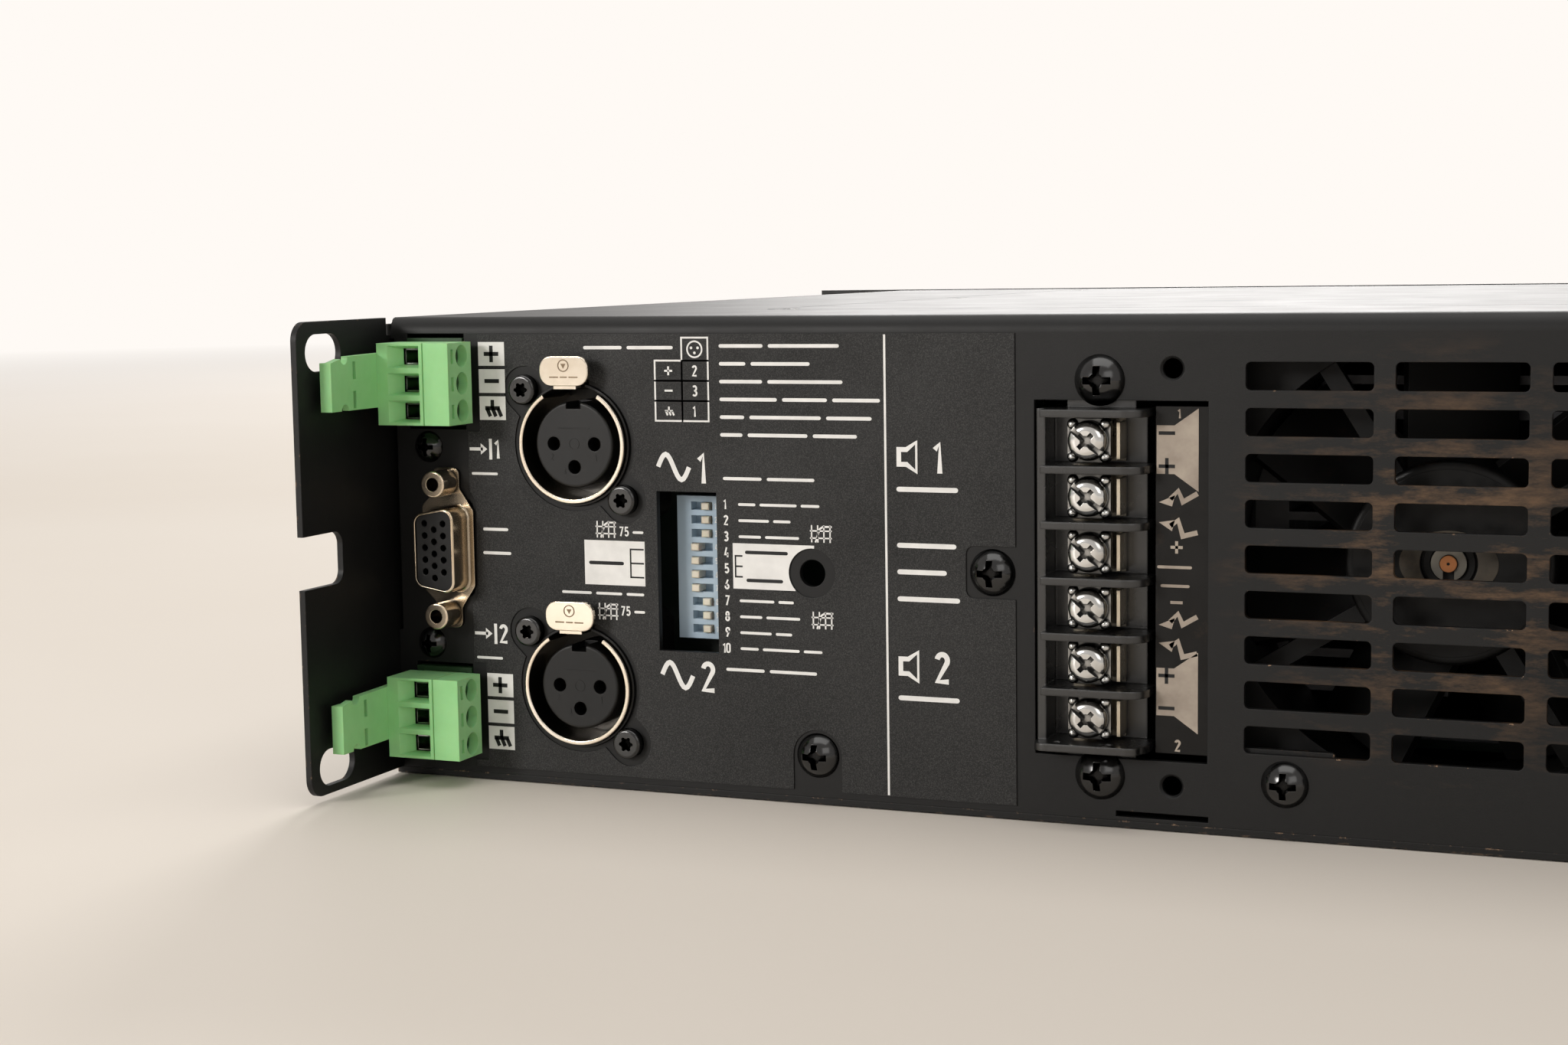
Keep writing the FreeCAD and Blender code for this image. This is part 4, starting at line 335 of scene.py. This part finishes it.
class Marks:
    """Gathers thin solids on a plane of the rear panel, or of the faceplate, into one mesh."""

    def __init__(self, name, w, thickness, material, body, slot, place=rear):
        self.name, self.w, self.thickness, self.place = name, w, thickness, place
        self.material, self.body, self.slot = material, body, slot
        self.mesh = bmesh.new()

    def solid(self, points):
        """A prism on an outline given anticlockwise or clockwise in u, v."""
        low = [self.mesh.verts.new(self.place(u, v, self.w - ROOT)) for u, v in points]
        high = [self.mesh.verts.new(self.place(u, v, self.w + self.thickness)) for u, v in points]
        self.mesh.faces.new(low)
        self.mesh.faces.new(high)
        for i in range(len(points)):
            j = (i + 1) % len(points)
            self.mesh.faces.new((low[i], low[j], high[j], high[i]))

    def bar(self, u0, u1, v0, v1):
        self.solid([(u0, v0), (u1, v0), (u1, v1), (u0, v1)])

    def pill(self, u0, u1, v0, v1):
        """A bar whose ends are rounded."""
        r = min(v1 - v0, u1 - u0) / 2
        centre = (v0 + v1) / 2
        right = [(u1 - r + r * math.cos(a), centre + r * math.sin(a)) for a in arc(-90, 90, 5)]
        left = [(u0 + r + r * math.cos(a), centre + r * math.sin(a)) for a in arc(90, 270, 5)]
        self.solid(right + left)

    def disc(self, u, v, r, steps=20):
        self.solid([(u + r * math.cos(a), v + r * math.sin(a)) for a in arc(0, 360, steps)[:-1]])

    def stroke(self, points, width, closed=False):
        """A ribbon along a line of points, mitred at the corners."""
        n = len(points)
        sides = []
        for i, (u, v) in enumerate(points):
            before = points[i - 1] if (i or closed) else None
            after = points[(i + 1) % n] if (i < n - 1 or closed) else None
            a = unit(before, (u, v)) if before else unit((u, v), after)
            b = unit((u, v), after) if after else a
            nu, nv = -(a[1] + b[1]) / 2, (a[0] + b[0]) / 2
            scale = width / 2 / max(0.45, math.hypot(nu, nv) ** 2)
            sides.append(((u + nu * scale, v + nv * scale), (u - nu * scale, v - nv * scale)))
        rings = []
        for left, right in sides:
            base, top = self.w - ROOT, self.w + self.thickness
            rings.append([self.mesh.verts.new(self.place(*left, base)),
                          self.mesh.verts.new(self.place(*right, base)),
                          self.mesh.verts.new(self.place(*right, top)),
                          self.mesh.verts.new(self.place(*left, top))])
        for i in range(n if closed else n - 1):
            a, b = rings[i], rings[(i + 1) % n]
            for k in range(4):
                m = (k + 1) % 4
                self.mesh.faces.new((a[k], a[m], b[m], b[k]))
        if not closed:
            self.mesh.faces.new(rings[0])
            self.mesh.faces.new(rings[-1])

    def ring(self, u, v, r, width, steps=28):
        self.stroke([(u + r * math.cos(a), v + r * math.sin(a)) for a in arc(0, 360, steps)[:-1]],
                    width, True)

    def frame(self, u0, u1, v0, v1, width):
        self.stroke([(u0, v0), (u1, v0), (u1, v1), (u0, v1)], width, True)

    def digits(self, number, u, v, height, width=None):
        """A number whose left foot is at u, v."""
        width = width or height * 0.15
        for character in str(number):
            for points, closed in DIGITS[character]:
                line = [(u + x * height, v + y * height) for x, y in points]
                self.stroke(line, width, closed)
            u += height * (0.36 if character == "1" else 0.62)

    def lines(self, u, v, height, lengths, gap=1.0):
        """Plain bars that stand for a line of small print of this height."""
        half = height * PRINT_WEIGHT / 2
        for length in lengths:
            self.pill(u, u + length, v - half, v + half)
            u += length + gap

    def build(self):
        add_piece(self.name, self.mesh, self.material, self.body)


def arc(start, end, steps):
    return [math.radians(start + (end - start) * i / steps) for i in range(steps + 1)]


def unit(a, b):
    length = math.hypot(b[0] - a[0], b[1] - a[1])
    return ((b[0] - a[0]) / length, (b[1] - a[1]) / length)


def bow(x, y, rx, ry, start, end, steps=12):
    return [(x + rx * math.cos(a), y + ry * math.sin(a)) for a in arc(start, end, steps)]


# Each digit's strokes: points in a cell one unit high, and whether the stroke is closed.
DIGITS = {
    "0": [(bow(0.22, 0.76, 0.17, 0.17, 0, 180) + bow(0.22, 0.24, 0.17, 0.17, 180, 360), True)],
    "1": [([(0.03, 0.74), (0.19, 0.93), (0.19, 0.0)], False)],
    "2": [(bow(0.22, 0.74, 0.17, 0.19, 170, -28) + [(0.05, 0.07), (0.43, 0.07)], False)],
    "3": [(bow(0.21, 0.72, 0.16, 0.21, 150, -80) + bow(0.21, 0.27, 0.18, 0.21, 75, -150), False)],
    "4": [([(0.24, 1.0), (0.05, 0.27), (0.46, 0.27)], False), ([(0.34, 0.48), (0.34, 0.0)], False)],
    "5": [([(0.40, 0.93), (0.10, 0.93), (0.07, 0.52)] + bow(0.22, 0.32, 0.18, 0.26, 110, -150),
           False)],
    "6": [(bow(0.22, 0.27, 0.18, 0.21, 0, 360)[:-1], True), ([(0.06, 0.33), (0.32, 0.98)], False)],
    "7": [([(0.03, 0.93), (0.41, 0.93), (0.14, 0.0)], False)],
    "8": [(bow(0.22, 0.73, 0.15, 0.20, 0, 360)[:-1], True),
          (bow(0.22, 0.28, 0.18, 0.22, 0, 360)[:-1], True)],
    "9": [(bow(0.22, 0.72, 0.18, 0.21, 0, 360)[:-1], True), ([(0.38, 0.66), (0.12, 0.02)], False)],
}


def plus(marks, u, v, size, width):
    marks.bar(u - size / 2, u + size / 2, v - width / 2, v + width / 2)
    marks.bar(u - width / 2, u + width / 2, v - size / 2, v + size / 2)


def minus(marks, u, v, size, width):
    marks.bar(u - size / 2, u + size / 2, v - width / 2, v + width / 2)


def ground(marks, u, v, size, width):
    """A chassis-ground sign: a stem, a bar and three slanted legs."""
    half = size / 2
    marks.bar(u - width / 2, u + width / 2, v, v + half)
    marks.bar(u - half, u + half, v - width / 2, v + width / 2)
    for x in (-half + width / 2, 0, half - width / 2):
        marks.stroke([(u + x, v), (u + x + half * 0.45, v - half)], width)


def wave(marks, u0, u1, v, height, width):
    """One cycle of a sine, for an audio channel."""
    steps = 16
    marks.stroke([(u0 + (u1 - u0) * i / steps,
                   v + height / 2 * math.sin(2 * math.pi * i / steps)) for i in range(steps + 1)],
                 width)


def arrow_in(marks, u0, u1, v, height, width):
    """An arrow that enters a socket, for an input."""
    marks.stroke([(u0, v), (u1 - height * 0.5, v)], width)
    tip = u1 - height * 0.22
    marks.solid([(tip, v), (tip - height * 0.42, v + height * 0.32),
                 (tip - height * 0.42, v - height * 0.32)])
    marks.stroke([(u1 - height * 0.1, v + height / 2), (u1, v + height / 2),
                  (u1, v - height / 2), (u1 - height * 0.1, v - height / 2)], width)


def speaker(marks, u, v, height, width):
    """A loudspeaker in outline: box and horn, opening to the right."""
    h = height / 2
    marks.stroke([(u, v - h * 0.5), (u + h * 0.55, v - h * 0.5), (u + h * 1.25, v - h),
                  (u + h * 1.25, v + h), (u + h * 0.55, v + h * 0.5), (u, v + h * 0.5)],
                 width, True)


def filter_icon(marks, u, v, width_mm, height_mm, ink):
    """A response graph: grid lines and a low-cut curve."""
    for i in range(4):
        x = u + width_mm * (0.08 + 0.28 * i)
        marks.bar(x - ink / 2, x + ink / 2, v, v + height_mm)
    for i in range(2):
        y = v + height_mm * (0.25 + 0.42 * i)
        marks.bar(u, u + width_mm, y - ink / 2, y + ink / 2)
    marks.stroke([(u + width_mm * 0.25, v), (u + width_mm * 0.45, v + height_mm * 0.78),
                  (u + width_mm * 0.6, v + height_mm * 0.92), (u + width_mm, v + height_mm * 0.92)],
                 ink * 1.3)


OVERLAY_BOX = panel_box("input_overlay")
OVERLAY_W = OVERLAY_BOX[5]
INK = 0.02
FINE_LINE = 0.3
WAY = 5.08
DIAL_HALF_TURN = 140.0
DIAL_STEPS = 10
KNOB_GROOVE_DEPTH = 0.6
PLUGS = [panel_box(f"terminal_plug_{n}") for n in CHANNELS]
SLIDERS = [panel_box(f"dip_slider_{n:02d}") for n in range(1, 11)]


def on_overlay(name, material, lift=0.0):
    return Marks(name, OVERLAY_W + lift, INK, material, "chassis", "overlay_graphite")


def build_input_marks():
    """Terminal signs and the signs and numbers of the two inputs."""
    white = on_overlay("print_inputs", "ink_white")
    dark = on_overlay("print_terminal_signs", "ink_dark", INK)
    right = OVERLAY_BOX[0] + 8.25
    for plug in PLUGS:
        centre = (plug[2] + plug[3]) / 2
        for step, sign in ((WAY, plus), (0.0, minus), (-WAY, ground)):
            v = centre + step + 0.15
            white.bar(right - 5.55, right, v - 2.22, v + 2.22)
            sign(dark, right - 2.8, v, 3.1, 0.75)
    for number, v in ((1, 61.5), (2, 26.4)):
        arrow_in(white, 18.1, 22.6, v + 1.75, 3.3, 0.6)
        white.digits(number, 23.5, v, 3.6, 0.62)
        white.lines(18.4, v - 2.9, 1.0, [5.6])
    white.lines(20.5, 48.1, 1.15, [5.4])
    white.lines(20.4, 43.6, 1.15, [6.0])
    return white, dark


def build_mode_marks():
    """Pin table, small print, channel headings and the switch numbers with their functions."""
    white = on_overlay("print_modes", "ink_white")
    dark = on_overlay("print_mode_signs", "ink_dark", INK)
    white.lines(42.6, 82.3, 1.25, [7.9, 9.3])
    table_u = (57.1, 62.5, 67.7)
    table_v = (69.0, 72.65, 76.3, 79.95, 84.1)
    table_line = 0.32
    for v0, v1 in zip(table_v[:3], table_v[1:4]):
        for u0, u1 in zip(table_u[:2], table_u[1:]):
            white.frame(u0, u1, v0, v1, table_line)
    white.frame(table_u[1], table_u[2], table_v[3], table_v[4], table_line)
    socket_u, socket_v = 65.1, 82.0
    white.ring(socket_u, socket_v, 1.45, FINE_LINE)
    for du, dv in ((-0.65, 0.25), (0.65, 0.25), (0.0, -0.65)):
        white.disc(socket_u + du, socket_v + dv, 0.26, 10)
    for sign, v, pin in ((plus, 78.1, 2), (minus, 74.5, 3), (ground, 70.8, 1)):
        sign(white, 59.8, v, 1.6, 0.35)
        white.digits(pin, 64.6, v - 1.0, 2.0, 0.34)
    paragraph = ((82.6, [8.6, 13.6]), (79.4, [5.2, 11.4]), (76.2, [8.4, 14.4]),
                 (73.0, [11.2, 8.6, 9.0]), (69.8, [4.8, 13.8, 8.6]), (66.6, [4.4, 11.6, 8.4]))
    for v, lengths in paragraph:
        white.lines(69.9, v, 1.3, lengths)
    for number, v, heading in ((1, 57.7, 58.7), (2, 19.3, 23.8)):
        wave(white, 57.4, 63.6, v + 2.9, 4.6, 0.9)
        white.digits(number, 65.4, v, 5.7, 0.9)
        white.lines(70.3, heading, 1.15, [7.6, 9.2])
    texts = {1: [3.4, 7.2, 3.6], 2: [6.0, 3.4], 3: [4.4, 6.6], 7: [6.8, 3.0], 8: [4.4, 6.6],
             9: [6.2, 3.2], 10: [3.6, 7.2, 3.6]}
    first_v, last_v, count = 54.05, 27.75, len(SLIDERS)
    for number in range(1, count + 1):
        v = last_v + (first_v - last_v) * (count - number) / (count - 1)
        left = 70.35 if number < count else 69.75
        white.digits(number, left, v - 0.9, 1.8, 0.32)
        if number in texts:
            white.lines(73.2, v, 1.0, texts[number], 0.8)
    for u, v in ((87.1, 47.6), (87.2, 32.0), (44.3, 47.2), (44.4, 31.9)):
        filter_icon(white, u, v, 4.2, 3.1, 0.26)
    for v in (47.6, 32.8):
        white.digits(75, 49.2, v, 1.75, 0.3)
        white.lines(51.9, v + 0.75, 0.95, [2.2])
    # The white block right of the switches has a round bite out of it for the test hole.
    hole_u, hole_v, bite = 87.4, 42.0, 4.5
    notch = [(hole_u + bite * math.cos(a), hole_v + bite * math.sin(a)) for a in arc(224, 84, 20)]
    white.solid([(notch[-1][0], 47.0), (72.0, 47.0), (72.0, 38.7), (notch[0][0], 38.7)] + notch)
    dark.lines(74.4, 45.4, 1.25, [8.4])
    dark.lines(74.6, 40.3, 1.25, [7.2])
    dark.stroke([(73.9, 44.7), (72.5, 44.7), (72.5, 40.9), (73.9, 40.9)], FINE_LINE)
    dark.stroke([(72.5, 42.8), (73.9, 42.8)], FINE_LINE)
    # The white block left of the switches.
    white.bar(41.9, 54.3, 38.4, 46.7)
    dark.lines(42.8, 42.5, 1.3, [7.2])
    dark.stroke([(54.1, 45.2), (51.4, 45.2), (51.4, 40.0), (54.1, 40.0)], FINE_LINE)
    dark.stroke([(51.4, 42.6), (54.1, 42.6)], FINE_LINE)
    white.lines(37.0, 36.8, 1.0, [6.2, 5.4, 3.6], 0.9)
    return white, dark


def build_output_marks():
    """The dividing line and the signs of the two outputs and the bridged output."""
    white = on_overlay("print_outputs", "ink_white")
    white.bar(101.4, 101.8, OVERLAY_BOX[2] + 0.2, OVERLAY_BOX[3] - 0.2)
    for number, v in ((1, 60.4), (2, 23.3)):
        speaker(white, 104.1, v + 2.8, 5.2, 0.85)
        white.digits(number, 110.6, v, 5.6, 0.95)
        white.lines(103.6, v - 2.9, 1.75, [11.4])
    for v, length in ((47.6, 11.0), (42.9, 9.2), (38.1, 11.6)):
        white.lines(103.6, v, 1.75, [length])
    return (white,)


def bolt(marks, u, v, width, height, lean, ink):
    """A zigzag with an arrowhead at its left end, for a live output."""
    marks.stroke([(u + width, v + lean), (u + width * 0.62, v - height * 0.45 + lean * 0.5),
                  (u + width * 0.5, v + height * 0.5), (u + width * 0.3, v - lean * 0.3)], ink)
    marks.solid([(u, v - lean), (u + width * 0.42, v + height * 0.35 - lean * 0.5),
                 (u + width * 0.34, v - height * 0.45 - lean * 0.5)])


def build_card_marks():
    """Speaker connection diagram on the card beside the terminal strip."""
    card = panel_box("output_legend_card")
    w = card[5]
    pale = Marks("print_connection_card", w, INK, "ink_pale", "chassis", "legend_film")
    dark = Marks("print_connection_signs", w + INK, INK, "ink_dark", "chassis", "legend_film")
    left = card[0] + 0.15
    throat, mouth = 152.8, 156.9
    for middle, signs in ((65.1, (minus, plus)), (23.8, (plus, minus))):
        pale.solid([(left, middle + 4.1), (throat, middle + 4.1), (mouth, middle + 7.0),
                    (mouth, middle - 7.0), (throat, middle - 4.1), (left, middle - 4.1)])
        for sign, v in zip(signs, (middle + 2.8, middle - 2.8)):
            sign(dark, 151.5, v, 2.8, 0.6)
    for v, lean in ((57.0, 0.8), (52.0, -0.8), (36.1, 0.8), (31.4, -0.8)):
        bolt(pale, left + 0.4, v, 6.6, 2.4, lean, 0.85)
    plus(pale, 153.2, 48.6, 2.1, 0.5)
    minus(pale, 153.2, 39.2, 2.1, 0.5)
    pale.lines(left + 0.1, 45.2, 1.0, [6.0])
    pale.lines(left + 0.7, 42.0, 1.0, [5.0])
    pale.digits(1, 153.4, 70.4, 1.6, 0.35)
    pale.digits(2, 153.0, 13.6, 2.0, 0.4)
    return pale, dark


def build_switch_numbers():
    """Numbers 1 to 10 moulded on the switch body beside the actuators."""
    body = panel_box("dip_body")
    marks = Marks("switch_numbers", body[5], INK, "ink_white", "chassis", "switch_blue")
    for number, slider in enumerate(SLIDERS, 1):
        v = (slider[2] + slider[3]) / 2
        marks.digits(number, body[1] - 2.3, v - 0.55, 1.1, 0.17)
    return (marks,)


def build_knob_marks():
    """Dials of 0 to 10 round the level knobs, the channels' numbers and the knobs' pointers."""
    dials = Marks("print_dials", 0.0, INK, "ink_white", "chassis", "face_black", front)
    made = [dials]
    for n in CHANNELS:
        low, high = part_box(f"gain_knob_{n}")
        x, z = (low.x + high.x) / 2 / MM, (low.z + high.z) / 2 / MM
        for i in range(DIAL_STEPS + 1):
            a = math.radians(90 + DIAL_HALF_TURN * (1 - 2 * i / DIAL_STEPS))
            near, far = 13.4, 15.2 if i % 5 else 15.9
            dials.stroke([(x + r * math.cos(a), z + r * math.sin(a)) for r in (near, far)], 0.5)
        dials.digits(0, x - 13.6, z - 15.0, 2.0)
        dials.digits(10, x + 11.4, z - 15.0, 2.0)
        dials.digits(n, x - 0.9, z - 22.0, 4.0)
        groove = (FACE_Y - low.y) / MM - KNOB_GROOVE_DEPTH
        pointer = Marks(f"knob_pointer_{n}", groove, 0.5, "ink_white", f"gain_{n}", "knob_black",
                        front)
        pointer.bar(x - 0.42, x + 0.42, z + 3.2, z + 8.4)
        made.append(pointer)
    return made


def build_contact_numbers():
    """Contact numbers moulded on each input connector's insert."""
    made = []
    for n in CHANNELS:
        housing = panel_box(f"xlr_housing_{n}")
        u, v = (housing[0] + housing[1]) / 2, (housing[2] + housing[3]) / 2
        # The numbers are lighter than the insert: painted highlight on the relief.
        marks = Marks(f"xlr_contact_numbers_{n}", 0.3, 0.06, "moulded_mark_painted_highlight", "chassis",
                      "black_moulding")
        for number, du, dv in ((2, -4.9, -3.0), (1, 4.3, -3.0), (3, -2.4, -5.6)):
            marks.digits(number, u + du, v + dv, 1.3, 0.2)
        marks.ring(u, v + 0.1, 1.0, 0.18)
        marks.lines(u - 3.2, v + 3.0, 0.5, [6.4])
        made.append(marks)
    return made


def build_latch_marks():
    """A stamped press sign on each latch tab: a ring with an arrow, over a short bar."""
    made = []
    for n in CHANNELS:
        latch = panel_box(f"xlr_latch_{n}")
        u = (latch[0] + latch[1]) / 2
        # The stamped sign is darker than the chrome: painted shade.
        marks = Marks(f"latch_press_mark_{n}", latch[5], 0.05, "stamped_mark_painted_shade", f"latch_{n}",
                      "chrome_ring")
        top = latch[3]
        marks.ring(u, top - 1.75, 1.05, 0.2)
        marks.solid([(u, top - 2.3), (u - 0.5, top - 1.4), (u + 0.5, top - 1.4)])
        for side in (-1, 1):
            marks.bar(u + side * 2.0 - 0.9, u + side * 2.0 + 0.9, top - 4.0, top - 3.75)
        marks.bar(u - 0.7, u + 0.7, top - 4.0, top - 3.75)
        made.append(marks)
    return made


for build in (build_input_marks, build_mode_marks, build_output_marks, build_card_marks,
              build_switch_numbers, build_contact_numbers, build_latch_marks, build_knob_marks):
    for marks in build():
        marks.build()


# ---- fan label ----
def turned(name, profile, centre, material, body, steps=64, wide=1.0, tall=1.0):
    """A closed ring turned about the Y axis from a profile of (radius, height) pairs in mm."""
    mesh = bmesh.new()
    rings = []
    for i in range(steps):
        a = 2 * math.pi * i / steps
        inner = profile[0][0]
        rings.append([])
        for r, h in profile:
            stretch = (wide, tall) if r > inner else (1.0, 1.0)
            x, z = r * stretch[0] * math.cos(a), r * stretch[1] * math.sin(a)
            rings[-1].append(mesh.verts.new(centre + Vector((x, h, z)) * MM))
    count = len(profile)
    for i in range(steps):
        a, b = rings[i], rings[(i + 1) % steps]
        for k in range(count):
            m = (k + 1) % count
            mesh.faces.new((a[k], a[m], b[m], b[k]))
    add_piece(name, mesh, material, body)


turned("fan_label", [(4.9, -0.02), (15.6, -0.02), (15.6, 0.08), (4.9, 0.08)], HUB, "hub_label",
       "chassis")
turned("fan_bearing_plate", [(4.7, 0.0), (7.4, 0.0), (7.4, 0.16), (4.7, 0.16)], HUB, "hub_paper",
       "chassis", wide=1.08, tall=0.74)
SHAFT_END = Vector((HUB.x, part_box("fan_rotor")[1].y, HUB.z))
turned("fan_shaft_end", [(0.25, -0.02), (1.45, -0.02), (1.35, 0.1), (0.25, 0.1)], SHAFT_END,
       "hub_bronze", "fan")

# ---- floor, light and camera ----
FLOOR_SIZE = 9.0
FLOOR_GAP = 0.2 * MM
BACKDROP = rgb(255, 250, 245)
bpy.ops.mesh.primitive_plane_add(size=FLOOR_SIZE, location=(0, 0, TRAY_LOW.z - FLOOR_GAP))
floor = bpy.context.object
floor.name = "studio_floor"
g = Graph("studio_floor")
g.place = g.add("TexCoord").outputs["Object"]
tone = g.mix(g.noise(3.0, 4.0), rgb(226, 216, 204), rgb(234, 226, 216))
matt = g.add("BsdfPrincipled", {"Base Color": tone, "Roughness": 0.55})
haze = g.add("Emission", {"Color": BACKDROP})
distance = g.add("VectorMath", {0: g.place}, operation="LENGTH").outputs["Value"]
blend = g.add("MixShader", {0: g.ramp(distance, 0.7, 2.6), 1: matt.outputs[0], 2: haze.outputs[0]})
g.tree.links.new(blend.outputs[0], g.add("OutputMaterial").inputs[0])
floor.data.materials.append(g.material)

world = bpy.data.worlds.new("studio")
bpy.context.scene.world = world
world.use_nodes = True
background = world.node_tree.nodes["Background"]
background.inputs[0].default_value = BACKDROP
# Bright where the camera sees it, dim as a light, in between in reflections.
AS_LIGHT, MORE_IN_VIEW, MORE_IN_GLOSS = 0.2, 0.8, 0.4
rays = world.node_tree.nodes.new("ShaderNodeLightPath")
seen = world.node_tree.nodes.new("ShaderNodeMath")
seen.operation = "MULTIPLY_ADD"
seen.inputs[1].default_value = MORE_IN_VIEW
seen.inputs[2].default_value = AS_LIGHT
mirrored = world.node_tree.nodes.new("ShaderNodeMath")
mirrored.operation = "MULTIPLY_ADD"
mirrored.inputs[1].default_value = MORE_IN_GLOSS
world.node_tree.links.new(rays.outputs["Is Camera Ray"], seen.inputs[0])
world.node_tree.links.new(rays.outputs["Is Glossy Ray"], mirrored.inputs[0])
world.node_tree.links.new(seen.outputs[0], mirrored.inputs[2])
world.node_tree.links.new(mirrored.outputs[0], background.inputs[1])


def area_light(name, place, target, size, power, colour):
    lamp = bpy.data.lights.new(name, "AREA")
    lamp.shape = "RECTANGLE"
    lamp.size, lamp.size_y = size
    lamp.energy = power
    lamp.color = colour
    holder = bpy.data.objects.new(name, lamp)
    holder.location = place
    holder.rotation_euler = (Vector(target) - Vector(place)).to_track_quat("-Z", "Y").to_euler()
    bpy.context.scene.collection.objects.link(holder)


PANEL = rear(110, 44, 0)
area_light("key", PANEL + Vector((0.9, 1.4, 0.55)), PANEL, (0.5, 0.4), 15.0, (1.0, 0.97, 0.94))
area_light("fill", PANEL + Vector((-1.3, 1.5, 0.9)), PANEL, (1.2, 0.9), 4.5, (1.0, 0.98, 0.96))
area_light("front", Vector((0.5, -1.8, 0.9)), (0, 0, 0), (1.0, 0.8), 24.0, (1.0, 0.98, 0.96))
area_light("overhead", Vector((0.0, 0.25, 1.9)), (0, 0.25, 0), (2.2, 2.2), 24.0, (1.0, 0.99, 0.97))

camera_data = bpy.data.cameras.new("camera")
camera_data.sensor_width = 36.0
camera_data.lens = 55.91
camera_data.clip_start = 0.01
camera = bpy.data.objects.new("camera", camera_data)
CAMERA_PLACE = Vector((-0.03327, 0.69061, 0.05382))
CAMERA_TARGET = Vector((0.13388, 0.290, 0.00679))
CAMERA_ROLL = math.radians(-0.872)
camera.location = CAMERA_PLACE
aim = (CAMERA_TARGET - camera.location).to_track_quat("-Z", "Y").to_matrix()
camera.rotation_euler = (aim @ Matrix.Rotation(CAMERA_ROLL, 3, "Z")).to_euler()
bpy.context.scene.collection.objects.link(camera)
bpy.context.scene.camera = camera
bpy.context.scene.view_settings.view_transform = "Standard"
